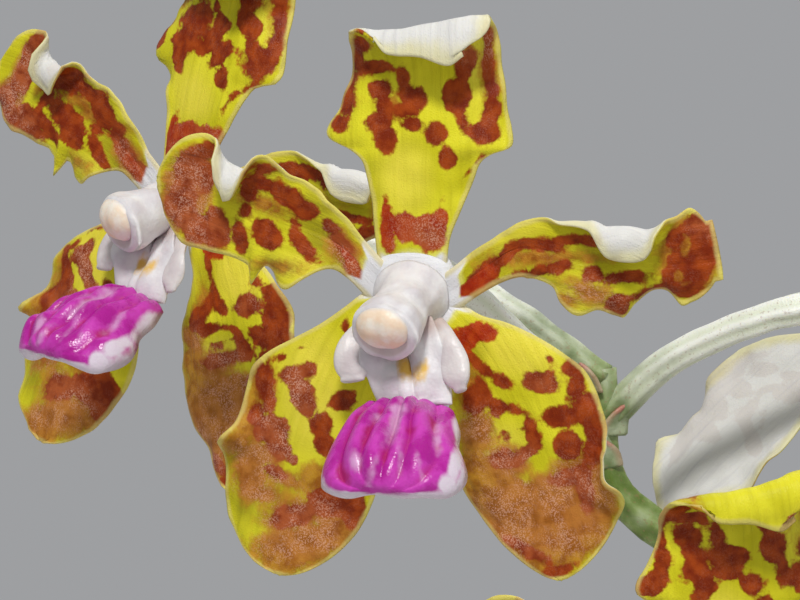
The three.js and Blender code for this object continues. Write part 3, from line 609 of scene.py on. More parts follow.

# Where each kind of marking lies on a tepal, given as ellipses in the picture's pixels:
# middle x, middle y, half length, half height and, unless it is level, tilt anticlockwise in degrees
# Besides the markings, three kinds paint light and shade on: sparkle where highlights glint, lighter yellow
# where the light falls brightest and on the paler neck, and olive shade where shadows fall
MARKS = {
    "dorsal": {
        "mark": [
            (358, 56, 8, 16), (360, 44, 12, 8, -10), (354, 88, 5, 20, -8), (349, 108, 7, 12, -20),
            (341, 124, 9, 9), (350, 72, 4, 18), (377, 67, 16, 8), (382, 90, 12, 12), (384, 108, 9, 12),
            (380, 122, 15, 9, 10), (387, 138, 12, 15), (404, 76, 5, 11), (405, 88, 4, 8),
            (415, 98, 14, 13), (402, 112, 6, 8, 30), (412, 124, 13, 9), (412, 112, 8, 6),
            (436, 134, 11, 13), (448, 158, 10, 11), (457, 96, 15, 18), (465, 64, 10, 19, -20),
            (463, 122, 5, 12), (487, 34, 6, 14, 10), (489, 60, 5, 20), (491, 90, 7, 18),
            (491, 112, 9, 14), (484, 133, 16, 12), (470, 170, 21, 1.8, 48),
        ],
        "wash": [(353, 66, 8, 30), (392, 108, 14, 12), (490, 84, 9, 40)],
        "patch": [
            (389, 228, 8, 24), (386, 208, 3, 12), (405, 226, 14, 16), (430, 232, 16, 20),
            (441, 226, 7, 16),
        ],
        "bare": [(413, 252, 11, 9), (404, 257, 10, 6)], "white": 3.0,
        "painted_sparkle": [(402, 238, 5, 14), (428, 236, 18, 24), (470, 44, 30, 12)],
        "light": [(405, 178, 24, 34), (474, 62, 6, 26)], "painted_shade": [(425, 46, 14, 3)],
    },
    "petal_left": {
        "mark": [
            (190, 168, 15, 20, -10), (184, 205, 18, 22, 10), (198, 228, 14, 14), (208, 178, 9, 16),
            (207, 150, 14, 8, 10), (217, 227, 15, 20, 12), (241, 237, 8, 18, 12), (248, 211, 7, 9),
            (268, 234, 13, 19, 30), (251, 192, 12, 9, -30), (263, 182, 24, 8, -22),
            (292, 198, 22, 11, -30), (308, 210, 14, 10, -20), (262, 168, 14, 5, -10),
            (331, 226, 12, 8, -35), (343, 245, 16, 8, -60), (353, 268, 19, 8, -62),
            (303, 246, 20, 8, -50), (296, 222, 10, 4, -20),
        ],
        "wash": [
            (188, 190, 26, 44, -15), (205, 235, 20, 18), (280, 266, 17, 6, -5), (345, 250, 14, 26, 25),
            (270, 205, 30, 8, -20),
        ],
        "patch": [(356, 274, 20, 6, -68), (347, 256, 12, 5, -60)], "bare": [(202, 205, 5, 7)],
        "white": 4.7, "painted_sparkle": [(185, 195, 28, 50), (215, 228, 12, 14), (348, 258, 12, 28, 30)],
        "light": [(295, 268, 22, 10, -5), (330, 195, 14, 5, -40)],
        "painted_shade": [(322, 240, 16, 34, 35), (270, 205, 34, 10, -20), (258, 172, 24, 8, -10)],
    },
    "petal_right": {
        "mark": [
            (478, 280, 18, 10, 38), (492, 268, 18, 9, 38), (508, 253, 16, 8, 38), (528, 244, 16, 7, 8),
            (550, 245, 16, 8), (575, 239, 24, 5), (596, 241, 10, 5), (508, 280, 28, 4, 16),
            (538, 271, 22, 5, 12), (562, 266, 18, 6, 10), (594, 273, 12, 8), (625, 277, 28, 7),
            (617, 304, 12, 14), (645, 293, 18, 6, 20), (664, 286, 14, 6, 30), (700, 226, 18, 15),
            (708, 246, 12, 22), (694, 262, 20, 22), (675, 238, 10, 10, 30), (672, 280, 10, 14),
            (690, 290, 14, 8, 20), (672, 256, 5, 18), (684, 262, 5, 16), (646, 306, 8, 6, 30),
        ],
        "wash": [
            (590, 292, 24, 9, -15), (566, 300, 10, 8), (690, 255, 32, 40), (690, 285, 24, 14),
            (540, 258, 50, 8),
        ],
        "patch": [(473, 290, 12, 13), (487, 274, 15, 8, 38), (484, 288, 18, 8, 30)],
        "bare": [(667, 252, 5, 4), (687, 246, 4, 8, -20), (660, 268, 4, 10), (679, 276, 4, 5)],
        "white": 4.6, "painted_sparkle": [(590, 292, 24, 10, -15), (706, 220, 14, 12)],
        "light": [(515, 236, 18, 5, 25), (575, 296, 22, 8)],
        "painted_shade": [(540, 258, 44, 9, 5), (595, 258, 34, 8), (680, 262, 8, 26)],
    },
    "sepal_left": {
        "mark": [
            (265, 380, 9, 24), (270, 400, 7, 12), (258, 415, 10, 14), (292, 375, 13, 10),
            (309, 370, 8, 9), (303, 392, 13, 13), (308, 405, 10, 10), (276, 432, 15, 18),
            (283, 450, 10, 9), (262, 432, 9, 9), (344, 400, 14, 11, 20), (322, 424, 13, 12),
            (325, 443, 11, 12), (282, 357, 7, 4, 15), (305, 348, 5, 1.6, 5), (294, 459, 5, 6),
            (275, 471, 12, 7, -25), (293, 515, 24, 12, 10), (347, 327, 4, 8), (330, 500, 22, 16),
            (352, 505, 14, 24),
        ],
        "wash": [
            (262, 385, 13, 30), (250, 420, 16, 26, 15), (238, 441, 18, 12), (252, 468, 16, 30),
            (262, 492, 24, 10, -10), (300, 545, 52, 20, 8), (285, 562, 34, 12), (320, 478, 20, 16),
            (290, 480, 26, 8, -20), (293, 515, 30, 18), (340, 525, 22, 18, 30), (270, 450, 16, 14),
        ],
        "patch": [], "bare": [(250, 513, 9, 16, 15)], "white": 4.0,
        "painted_sparkle": [(300, 392, 22, 26), (278, 440, 26, 30), (262, 470, 36, 36), (300, 530, 46, 34)],
        "light": [(312, 388, 30, 60)], "painted_shade": [(248, 505, 12, 20, 10), (335, 505, 20, 26)],
    },
    "sepal_right": {
        "mark": [
            (472, 357, 9, 5, -45), (487, 371, 11, 6, -40), (503, 381, 11, 7, -30), (541, 381, 20, 12, -5),
            (549, 358, 6, 3, -35), (572, 368, 10, 10), (576, 388, 9, 18, -15), (586, 408, 12, 18, -15),
            (595, 428, 12, 18), (592, 450, 9, 18), (560, 416, 18, 12), (578, 413, 10, 8),
            (569, 446, 15, 16), (502, 409, 15, 10, -20), (521, 419, 14, 10, -40), (535, 437, 8, 15, 25),
            (506, 435, 6, 6), (529, 450, 8, 7), (484, 387, 4, 11, 25), (572, 476, 22, 10, 10),
            (508, 458, 18, 10), (586, 486, 10, 26, 10), (528, 550, 26, 7, -30), (556, 572, 20, 6, 20),
            (476, 400, 12, 16), (484, 392, 6, 14, 20),
        ],
        "wash": [
            (478, 430, 18, 24), (505, 462, 24, 18), (474, 466, 16, 22), (545, 525, 70, 50, 15),
            (500, 500, 40, 32, -30), (580, 490, 34, 40), (474, 395, 14, 26), (600, 500, 18, 34),
        ],
        "patch": [(478, 333, 22, 10, 4), (466, 342, 12, 10)],
        "bare": [
            (532, 470, 20, 6, 42), (492, 446, 16, 6, 40), (512, 420, 12, 8), (493, 476, 12, 5),
            (497, 512, 10, 5, -30), (512, 487, 5, 8),
        ],
        "white": 4.6,
        "painted_sparkle": [(480, 430, 20, 16), (510, 462, 26, 22), (545, 510, 70, 46, 10), (541, 381, 12, 8)],
        "light": [(520, 350, 40, 24, -25), (500, 440, 22, 14)], "painted_shade": [(470, 365, 10, 24)],
    },
}

LIP_BASE = {
    "claw": {
        "azimuth": 278, "start": (0, -3.8, 1.8), "length": 7.4, "tipFrom": 0.9, "tipLeast": 1,
        "widthLeft": [[0, 3], [0.5, 3.6], [1, 3.7]],
        "widthRight": [[0, 3.8], [0.4, 4.4], [0.62, 3.6], [1, 3.2]], "bend": [[0, 34], [1, 30]],
        "cup": [[0, 25], [1, -5]], "curlLeft": [[0, 20], [1, -30]], "curlRight": [[0, 20], [1, -30]],
    },
    "ear_left": {
        "azimuth": 236, "start": (-3.2, -3.1, 1.8), "length": 6, "tipFrom": 0.45, "tipLeast": 0.4,
        "widthLeft": [[0, 1.8], [0.5, 3.7], [1, 3.8]], "widthRight": [[0, 0.8], [0.5, 1.6], [1, 2]],
        "bend": [[0, 34], [0.5, 26], [1, 16]], "sway": [[0, -8], [1, 36]], "cup": [[0, 10], [1, 0]],
        "curlLeft": 10, "curlRight": [[0, 10], [1, 0]],
    },
    "ear_right": {
        "azimuth": 302, "start": (2.6, -3.2, 2.2), "length": 7, "tipFrom": 0.6, "tipLeast": 0.4,
        "widthLeft": [[0, 0.7], [0.5, 1.3], [1, 1.5]], "widthRight": [[0, 0.7], [0.5, 1.3], [1, 1.4]],
        "bend": [[0, 36], [0.5, 28], [1, 16]], "sway": [[0, 6], [1, -16]],
        "curlLeft": [[0, 10], [1, -10]], "curlRight": 10,
    },
}

LIP = {
    "path": [(0.4, -10.2, 5.6), (0.4, -11.6, 8.2), (0.4, -14, 12), (0.3, -16.4, 15.4)],
    "left": [[0, 4.4], [0.2, 5.3], [0.4, 5.6], [0.52, 6.3], [0.66, 6.8], [0.8, 6.6], [0.93, 5.6], [1, 4]],
    "right": [[0, 4.1], [0.2, 5.2], [0.5, 6.1], [0.8, 6], [0.93, 4.9], [1, 3.2]],
    "top": [[0, 0.6], [0.15, 1.2], [0.5, 1.6], [0.8, 1.7], [1, 0.9]],
    "under": [[0, 0.8], [0.5, 1], [0.8, 1.3], [1, 0.8]],
    "keels": [(-0.82, 0.24), (-0.48, 0.26), (-0.18, 0.16), (0.12, 0.22), (0.46, 0.22), (0.8, 0.2)],
    "keel_height": [[0, 0.9], [0.25, 1.35], [0.65, 1.3], [0.92, 0.7], [1, 0.25]], "droop": 0.04,
    "pale": [
        (394, 424, 6, 22, -18), (398, 408, 9, 5), (355, 461, 6, 10, 5), (372, 474, 3, 14, -15),
        (400, 458, 2, 10), (420, 470, 1.5, 10, 10), (438, 440, 4, 14), (376, 418, 5, 4, 30),
    ],
    "rosy": [(363, 409, 10, 5, 20), (380, 407, 6, 4), (415, 411, 7, 5), (434, 414, 8, 3, -20)],
    "margin": [
        (345, 498, 34, 5, -8), (395, 502, 50, 6, 6), (448, 486, 10, 12, 30), (455, 466, 8, 16, -10),
        (459, 440, 5, 20), (457, 425, 5, 10, 10),
    ],
}

COLUMN = {
    "path": [(0, -0.8, 0.6), (-0.1, -1.2, 2.4), (-0.4, -2.2, 4.5), (-1, -3.4, 6.7)],
    "radius": [[0, 3.4], [0.15, 2.75], [0.35, 2.45], [0.6, 2.6], [0.85, 3], [1, 3.05]],
    "rim": [(0, 1), (0.27, 0.97), (0.495, 0.91), (0.585, 0.83), (0.54, 0.74), (0.36, 0.66), (0, 0.3)],
    "rows": 30, "around": 56, "shaded_rings": 3,
}
CAP = {
    "wide": 2.6, "high": 2.15, "deep": 1.5, "right": 0.15, "raised": 0.6, "forward": 0.25,
    "rows": 33, "around": 48,
}
HUB = {
    "radius": (0, 1.6, 2.8, 3.7, 4.0, 3.6, 2.7, 2.0),
    "height": (1.0, 0.98, 0.75, 0.3, -0.3, -0.9, -1.35, -1.6),
    "rows": 25, "around": 48, "least": 0.02,
}
CLAW = {"half": 0.55, "shade": 0, "spots": [(406, 370, 5, 10, 10), (423, 372, 4, 9, -20)],
        "lines": [(418, 411, 4, 3), (447, 415, 4, 2, -20), (389, 404, 5, 2, 30)]}
SIDE_LOBE = {"half": 0.42, "shade": 0.38, "spots": [], "lines": []}

# Rows and columns of each part, finer on the first flower
FINE = {"tepal": (120, 44), "foot": (41, 33), "lip": (72, 81, 31)}
COARSE = {"tepal": (60, 28), "foot": (25, 21), "lip": (48, 57, 21)}

FIRST_HUB = vec(-100, -62, 380)
BLOOMS = [
    {"hub": (0, 0, 0), "yaw": -14, "pitch": -6, "roll": 0, "reflex": {}},
    {"hub": (-21.9, 26, 8.6), "yaw": -40, "pitch": 4, "roll": -9,
     "reflex": {"petal_right": 10, "petal_left": -12}},
    {"hub": (46, 34, -4), "yaw": 128, "pitch": -12, "roll": 16,
     "reflex": {"sepal_right": 16, "petal_right": -30, "dorsal": -26}},
    {"hub": (28.2, 2, -40.2), "yaw": 8, "pitch": -14, "roll": 4, "reflex": {"petal_left": 8},
     "coloured_roll": "dorsal"},
    {"hub": (22, 60, -62), "yaw": -136, "pitch": -6, "roll": -4, "reflex": {}},
    {"hub": (26, 14, -92), "yaw": -50, "pitch": -8, "roll": 3, "reflex": {"dorsal": 6}},
]


def flower_turn(bloom):
    turn = turn_matrix("x", 90) @ turn_matrix("y", bloom["yaw"])
    return turn @ turn_matrix("x", -bloom["pitch"]) @ turn_matrix("z", bloom["roll"])


def in_world(bloom, local):
    return local @ flower_turn(bloom).T + FIRST_HUB + np.array(bloom["hub"])


def picture_place(local):
    """Where a point of the first flower shows in the picture, in its pixels."""
    away = in_world(BLOOMS[0], local) - PICTURE["camera"]
    right, up = away[..., 0] / away[..., 1], away[..., 2] / away[..., 1]
    x = PICTURE["width"] / 2 + PICTURE["scale"] * right
    return stacked(x, PICTURE["height"] / 2 - PICTURE["scale"] * up)


def inside(pixels, ellipses):
    """How far inside the nearest of some ellipses each pixel is, in millimetres."""
    blur, nowhere = 0.6, -40.0
    deepest = np.full(pixels.shape[:-1], nowhere)
    for x, y, across, high, *tilt in ellipses:
        a = math.radians(sum(tilt))
        right, up = pixels[..., 0] - x, y - pixels[..., 1]
        first = (right * math.cos(a) + up * math.sin(a)) / across
        second = (up * math.cos(a) - right * math.sin(a)) / high
        depth = (1 - np.hypot(first, second)) * min(across, high)
        deepest = np.logaddexp(deepest * blur, depth * blur) / blur
    return np.clip(deepest * PIXEL, OUTSIDE, -OUTSIDE)


def covered(pixels, ellipses):
    """The same as a share, which goes from 0 to 1 over two millimetres."""
    return np.clip(0.5 + inside(pixels, ellipses) * 0.5, 0, 1)


def blade_grid(spec, frame_axes, u, t, reflex=0.0):
    """The middle surface of a blade at each u along it and t across it, as in the CAD model."""
    ahead, front = frame_axes
    fine = np.linspace(0, 1, FINE_STEPS + 1)
    n = np.broadcast_to(front, (FINE_STEPS + 1, 3))
    d = turned(ahead, n, track(spec.get("sway", 0), fine))
    s = np.cross(n, d)
    bend = track(spec.get("bend", 0), fine) - reflex
    d, n = turned(d, s, -bend), turned(n, s, -bend)
    twist = track(spec.get("twist", 0), fine)
    s, n = turned(s, d, twist), turned(n, d, twist)
    step = d * spec["length"] / FINE_STEPS
    step[0] = 0
    place = np.array(spec["start"], float) + np.cumsum(step, axis=0)
    rows = np.round(u * FINE_STEPS).astype(int)
    end = np.maximum(0, (u - spec["tipFrom"]) / (1 - spec["tipFrom"]))
    tip = np.maximum(np.sqrt(np.maximum(0, 1 - end**2)), spec.get("tipLeast", TIP_LEAST))
    cup = track(spec.get("cup", 0), u)
    out, lift, width = (np.zeros((len(u), len(t))) for _ in range(3))
    share = (np.arange(SECTION_STEPS) + 0.5) / SECTION_STEPS
    for hand, chosen in (("Left", t >= 0), ("Right", t < 0)):
        reach = np.abs(t[chosen])
        fold = track(spec.get("fold" + hand, FOLD), u)[:, None, None]
        curl = track(spec.get("curl" + hand, 0), u)[:, None, None]
        eased = smooth(share * reach[None, :, None], fold - CURL_SPAN, fold + CURL_SPAN)
        angle = np.radians(cup[:, None, None] + curl * eased)
        width[:, chosen] = (track(spec["width" + hand], u) * tip)[:, None]
        size = width[:, chosen] * reach / SECTION_STEPS
        out[:, chosen] = np.cos(angle).sum(axis=-1) * size
        lift[:, chosen] = np.sin(angle).sum(axis=-1) * size
    notch = track(spec["notch"], t) * smooth(u, 0.88, 1)[:, None] if "notch" in spec else 0 * out
    grid = place[rows][:, None] + s[rows][:, None] * (np.sign(t) * out)[..., None]
    return grid + n[rows][:, None] * lift[..., None] + d[rows][:, None] * notch[..., None], width


def flat_axes(azimuth):
    a = math.radians(azimuth)
    return vec(math.cos(a), math.sin(a), 0), vec(0, 0, 1)


def blade_fields(spec, u, t, width, own):
    """How far each point is from a blade's edge, and its place along and across with a value of its own."""
    edge = np.minimum((1 - np.abs(t)) * width, (1 - u)[:, None] * spec["length"])
    return edge, stacked(u[:, None] * spec["length"], t * width, own)


def tepal_shape(name, bloom, seed, rows, columns):
    """A sepal or petal, with its markings, painted sparkle and painted light and shade as fields."""
    spec, marks = TEPALS[name], MARKS[name]
    u, even = np.linspace(0, 1, rows + 1), np.linspace(-1, 1, columns + 1)
    t = np.sin(even * math.pi / 2) * 0.35 + even * 0.65
    axes = flat_axes(spec["azimuth"])
    flat, width = blade_grid(spec, axes, u, t)
    grid, _ = blade_grid(spec, axes, u, t, bloom["reflex"].get(name, 0))
    # Small waves along the edges and a soft quilting all over
    beside = smooth(np.abs(t), 0.45, 1) * smooth(u, 0.15, 0.35)[:, None]
    waves = [high * ripple(flat, long, seed + k) for k, (high, long) in enumerate(TEPAL_WAVES)]
    grid = grid + normals(grid) * (beside * (waves[0] + waves[1]) + waves[2])[..., None]
    half = TEPAL_HALF * (1 - 0.62 * np.abs(t) ** 3) * (1 - 0.55 * smooth(u, 0.88, 1))[:, None]
    points, faces, rim = closed_sheet(grid, half)
    # The first flower's markings lie as in the picture, and the others' stray from there
    stray = 0 if bloom is BLOOMS[0] else 1
    drift = stacked(ripple(flat, 9, seed + 3), ripple(flat, 9, seed + 4)) * MARK_DRIFT * stray
    pixels = picture_place(flat) + drift
    bare = -inside(pixels, marks["bare"])
    mark = np.minimum(inside(pixels, marks["mark"]) + 0.12 * stray, bare)
    patch = np.minimum(inside(pixels, marks["patch"]), bare)
    # After the wash come painted sparkle, lighter yellow that is partly painted light and partly the paler
    # neck, and painted shade
    wash, *tint = (covered(pixels, marks[key]) for key in ("wash", "painted_sparkle", "light", "painted_shade"))
    neck = marks["white"] + 1.2 * smooth(np.abs(t), 0.5, 1)
    pale = np.clip(0.5 + (neck - np.linalg.norm(flat[..., :2], axis=-1)) * 0.8, 0, 1)
    # A rolled tip that is coloured shows the front's colours on its back too
    rolled = smooth(u, 0.8, 0.86)[:, None] if name == bloom.get("coloured_roll") else 0
    edge, grain = blade_fields(spec, u, t, width, seed * PATTERN_STEP)
    return shape(
        in_world(bloom, points), faces,
        zone=sided_field(pale, edge, rolled, rim),
        grain=sheet_field(grain, rim),
        pattern=sheet_field(stacked(mark, wash, patch), rim),
        tint=sheet_field(stacked(*tint), rim),
    )


def hub_shape(bloom, seed):
    """The white disc that the tepals grow from."""
    rows, places = np.linspace(0, 1, HUB["rows"])[:, None], np.linspace(0, 1, len(HUB["radius"]))
    radius, height = (track(stacked(places, HUB[key]), rows) for key in ("radius", "height"))
    rings = stacked(*circling(np.maximum(radius, HUB["least"]), full_turn(HUB["around"])), height)
    points, faces = lofted(rings[::-1])
    return shape(
        in_world(bloom, points), faces,
        zone=np.tile([1.0, 3.0, 1.0], (len(points), 1)),
        grain=points + vec(0, 0, seed * PATTERN_STEP),
        pattern=np.tile([OUTSIDE, 0.0, OUTSIDE], (len(points), 1)),
        tint=0 * points,
    )


def foot_shape(bloom, seed, rows, columns):
    """The lip's claw, with two ridges and its spots, between the side lobes."""
    parts = []
    u, t = np.linspace(0, 1, rows), np.linspace(-1, 1, columns)
    for name, spec in LIP_BASE.items():
        own = CLAW if name == "claw" else SIDE_LOBE
        grid, _ = blade_grid(spec, flat_axes(spec["azimuth"]), u, t)
        fold = 0.22 * ripple(grid, 4.0, seed + 5) * smooth(u, 0.1, 0.4)[:, None]
        if own is CLAW:
            ridges = np.exp(-(((np.abs(t - 0.12) - 0.2) / 0.09) ** 2))
            fold = fold + 0.34 * ridges * smooth(u, 0.05, 0.3)[:, None]
        grid = grid + normals(grid) * fold[..., None]
        half = own["half"] * np.sqrt(1.04 - np.abs(t) ** 2.6) * (1 - 0.4 * smooth(u, 0.85, 1))[:, None]
        points, faces, rim = closed_sheet(grid, half)
        pixels = picture_place(grid)
        spot, line = inside(pixels, own["spots"]), inside(pixels, own["lines"])
        shade = np.maximum(smooth(u, 0.35, 0)[:, None], own["shade"])
        foot = sheet_field(stacked(spot, line, shade), rim)
        parts.append(shape(in_world(bloom, points), faces, foot=foot))
    return joined(parts)


def lip_shape(bloom, seed, rows, top_count, under_count):
    """The lip's blade, keeled along its top."""
    c = np.concatenate([np.linspace(-1, 1, top_count), np.linspace(1, -1, under_count)[1:-1]])
    above = np.arange(len(c)) < top_count
    rise = np.sqrt(np.maximum(0, 1 - c**2))
    # Keels along the top, with narrow furrows between them
    keel = np.zeros(len(c))
    for middle, reach in LIP["keels"]:
        keel = np.maximum(keel, 1 - ((c - middle) / reach) ** 2)

    def section(v, _):
        x = c * np.where(c < 0, track(LIP["left"], v), track(LIP["right"], v))
        wander = 0.36 * ripple(stacked(x, v * 14), 6, seed + 6)
        height = track(LIP["top"], v) * rise**0.7
        height = height + track(LIP["keel_height"], v) * (keel * rise**0.5 - 0.4 * rise)
        y = np.where(above, height, -track(LIP["under"], v) * rise)
        return x, y + wander * rise - LIP["droop"] * x**2

    rings, v, _ = swept(LIP["path"], vec(0, 1, 0), rows, len(c), section)
    # The end is rounded: its last rows draw in towards the middle line
    middle = rings.mean(axis=1, keepdims=True)
    draw = np.sqrt(np.maximum(0.06, 1 - smooth(v, 0.9, 1.04) ** 2))
    rings = middle + (rings - middle) * stacked(draw**0.4, draw, draw)
    points, faces = lofted(rings[:, ::-1])
    pixels = picture_place(rings)
    edge = 0.35 - (1 - np.abs(c)) * 5 - smooth(v, 0.75, 0.3) * 0.5
    margin = np.where(above, np.maximum(inside(pixels, LIP["margin"]), edge), 0.4)
    furrow = np.where(above, 1 - keel, 0) * smooth(v, 0.0, 0.25) * smooth(v, 1.0, 0.85)
    hue = loft_field(stacked(inside(pixels, LIP["pale"]), margin, furrow)[:, ::-1])
    rosy = loft_field(np.where(above, inside(pixels, LIP["rosy"]), OUTSIDE)[:, ::-1])
    return shape(in_world(bloom, points), faces, hue=hue, rosy=rosy)


def column_shapes(bloom, seed):
    """The column with its hollow end, and the anther cap in it."""

    def section(v, angle):
        return circling(track(COLUMN["radius"], v) * (1 + 0.05 * np.cos(2 * angle)), angle)

    rings, _, _ = swept(COLUMN["path"], vec(0, 1, 0), COLUMN["rows"], COLUMN["around"], section)
    tip, before = rings[-1].mean(axis=0), rings[-2].mean(axis=0)
    along = unit(tip - before)
    mouth = [tip + (rings[-1] - tip) * size + along * forward for forward, size in COLUMN["rim"]]
    rings = np.concatenate([rings, mouth])
    points, faces = lofted(rings[:, ::-1])
    points = points + 0.1 * ripple(points, 3, seed + 7)[:, None]
    foot = np.tile([OUTSIDE, OUTSIDE, 0.0], (len(points), 1))
    foot[COLUMN["around"] * (len(rings) - COLUMN["shaded_rings"]) :, 2] = 0.5
    # The cap: a low dome with a groove down its middle, set high on the column's end
    polar = np.linspace(0.02, math.pi - 0.02, CAP["rows"])[:, None]
    x, y = circling(np.sin(polar), full_turn(CAP["around"]))
    z = np.cos(polar) + 0 * x
    groove = 0.07 * np.exp(-((x / 0.2) ** 2)) * smooth(z, 0, 0.6)
    right = unit(np.cross(vec(0, 1, 0), along))
    up = np.cross(along, right)
    centre = tip + along * CAP["forward"] + right * CAP["right"] + up * CAP["raised"]
    reach = np.stack([right * CAP["wide"], up * CAP["high"], along * CAP["deep"]])
    dome, dome_faces = lofted(centre + (stacked(x, y, z) * (1 - groove)[..., None]) @ reach)
    cap = shape(in_world(bloom, dome), dome_faces, edge=loft_field(smooth(z, 0.35, 0.0)))
    return shape(in_world(bloom, points), faces, foot=foot), cap


def flower(number, bloom):
    steps, seed = (FINE, 11) if number == 1 else (COARSE, 100 * number)
    tepals = [tepal_shape(name, bloom, seed + 13 * k, *steps["tepal"]) for k, name in enumerate(TEPALS)]
    column, cap = column_shapes(bloom, seed)
    pieces = {
        "tepals": (joined([hub_shape(bloom, seed), *tepals]), "tepal", ["tepals"]),
        "column": (column, "white_flower", ["column"]),
        "cap": (cap, "white_flower", []),
        "foot": (foot_shape(bloom, seed, *steps["foot"]), "white_flower", ["lip_base"]),
        "lip": (lip_shape(bloom, seed, *steps["lip"]), "lip", ["lip_blade"]),
    }
    for name, (part, slot, nodes) in pieces.items():
        nodes = [f"bloom_{number}_{node}" for node in nodes]
        make_piece(f"flower_{number}_{name}", part, FLOWER_FINISHES[name], nodes)


white = white_finish()
FLOWER_FINISHES = {
    "tepals": tepal_finish(), "column": white, "foot": white, "cap": cap_finish(), "lip": lip_finish(),
}
for number, bloom in enumerate(BLOOMS, 1):
    flower(number, bloom)


# The spike: a grooved axis, a ridged stalk to the back of each flower, and small scales at the joints
RACHIS = [
    (-3, 0, 180), (-11, -3, 200), (-18, -9, 234), (-27, -15, 266), (-38, -21, 297),
    (-50, -26, 322), (-61, -28, 341), (-72.8, -28, 353.8), (-80.4, -28, 360.5), (-81.4, -29, 372),
]
AXIS = {
    "rows": 150, "around": 40, "ribs": 5, "turns": 0.8, "depth": 0.07,
    "radius": [[0, 2.6], [0.5, 2.2], [0.9, 1.8], [1, 1.3]], "white": [[0, 0], [0.6, 0.1], [1, 0.3]],
}
STALK = {
    "rows": 70, "around": 36, "ribs": 6, "turns": 0.35, "depth": 0.09,
    "straight": 8, "bow": 0.35, "rise": 2.5,
    "radius": [[0, 1.5], [0.5, 1.4], [0.85, 1.7], [1, 2]],
    "white": [[0, 0.25], [0.3, 0.6], [0.7, 0.95], [1, 1]],
}
STALK_FROM = [0.96, 0.995, 0.975, 0.83, 0.7, 0.56]  # share of the axis where each stalk leaves it
SCALE = {"rows": 25, "columns": 17, "half": 0.22, "at_flower": 3.6, "empty": 8.5}
LOWER_SCALES = [0.1, 0.25, 0.41]  # share of the axis where each empty scale sits
AXIS_STEPS = 1000
HUB_BACK, GAP = 1.5, 0.32


def stalk_path(bloom, root, ahead):
    behind = in_world(bloom, vec(0, 0, -HUB_BACK - STALK["straight"]))
    leave = root + (behind - root) * STALK["bow"] + ahead * STALK["rise"]
    return [root, leave, behind, in_world(bloom, vec(0, 0, -HUB_BACK - GAP))]


def stem_like(places, up, kind):
    """A ribbed, slowly twisting body; white says how pale it is along its length."""

    def ribbing(v, angle):
        return np.cos(kind["ribs"] * angle + kind["turns"] * v * 2 * math.pi)

    def section(v, angle):
        return circling(track(kind["radius"], v) * (1 + kind["depth"] * ribbing(v, angle)), angle)

    rings, v, angle = swept(places, up, kind["rows"], kind["around"], section)
    points, faces = lofted(rings[:, ::-1])
    tones = stacked(track(kind["white"], v), 0.5 - 0.5 * ribbing(v, angle), 0.0)
    return shape(points + 0.06 * ripple(points, 4, 5)[:, None], faces, tone=loft_field(tones[:, ::-1]))


def scale_shape(place, ahead, outward, length):
    """A pointed scale that clasps the axis at its foot."""
    u, t = np.linspace(0, 1, SCALE["rows"]), np.linspace(-1, 1, SCALE["columns"])
    front = unit(-(outward - ahead * np.dot(outward, ahead)))
    width = [[0, 2.9], [0.4, 2.5], [1, 1.2]]
    spec = {
        "start": tuple(place - front * 2.3 - ahead * 1.0), "length": length,
        "tipFrom": 0.25, "tipLeast": 0.08, "widthLeft": width, "widthRight": width,
        "bend": [[0, 0], [0.5, -12], [1, -34]], "cup": [[0, 48], [0.5, 34], [1, 12]],
    }
    grid, _ = blade_grid(spec, (ahead, front), u, t)
    points, faces, rim = closed_sheet(grid, np.full(grid.shape[:2], SCALE["half"]))
    rosy = smooth(u, 0.45, 0.95)[:, None] + 0.5 * smooth(np.abs(t), 0.6, 1)
    tones = stacked(0.35, 0.0, np.clip(rosy, 0, 1))
    return shape(points, faces, tone=sheet_field(tones, rim))


def make_spike():
    line, along = smooth_path(RACHIS, AXIS_STEPS)

    def joint(share):
        step = round(share * AXIS_STEPS)
        return line[step], along[step]

    parts = [stem_like(RACHIS, vec(0, -1, 0.2), AXIS)]
    for bloom, share in zip(BLOOMS, STALK_FROM):
        root, ahead = joint(share)
        path = stalk_path(bloom, root, ahead)
        parts.append(stem_like(path, vec(0.1, 0.2, 1), STALK))
        parts.append(scale_shape(root, ahead, unit(path[1] - root), SCALE["at_flower"]))
    for k, share in enumerate(LOWER_SCALES):
        outward = vec(math.cos(2.2 * k), math.sin(2.2 * k), 0.2)
        parts.append(scale_shape(*joint(share), outward, SCALE["empty"]))
    make_piece("flower_spike", joined(parts), spike_finish(), ["spike"])


def spike_finish():
    f = Finish("green_spike", Roughness=0.42)
    white, groove, rosy = f.parts(f.field("tone"))
    place = f.place()
    soft = f.noise(place, 0.35, 3)
    green = f.tones(soft, 0.35, 0.65, (92, 116, 36), (124, 146, 60))
    green = f.blend(f.product(groove, 0.35), green, (64, 88, 24))
    pale = f.blend(f.product(groove, 0.55), (240, 240, 230), (206, 214, 178))
    colour = f.layers(
        f.tones(f.sum(white, f.spread(soft, 0.4)), 0.2, 0.7, green, pale),
        (f.span(f.noise(place, 3.0, 2), 0.6, 0.68, 0, 0.35), (150, 110, 80)),
        (f.product(f.span(rosy, 0.1, 0.9), 0.85), (186, 112, 96)),
    )
    f.set(Base_Color=colour, Normal=f.bump(f.noise(place, 5.0, 2), 0.05))
    f.glow(0.1, 1.5, 1.0, 0.8, 0.4)
    return f.material


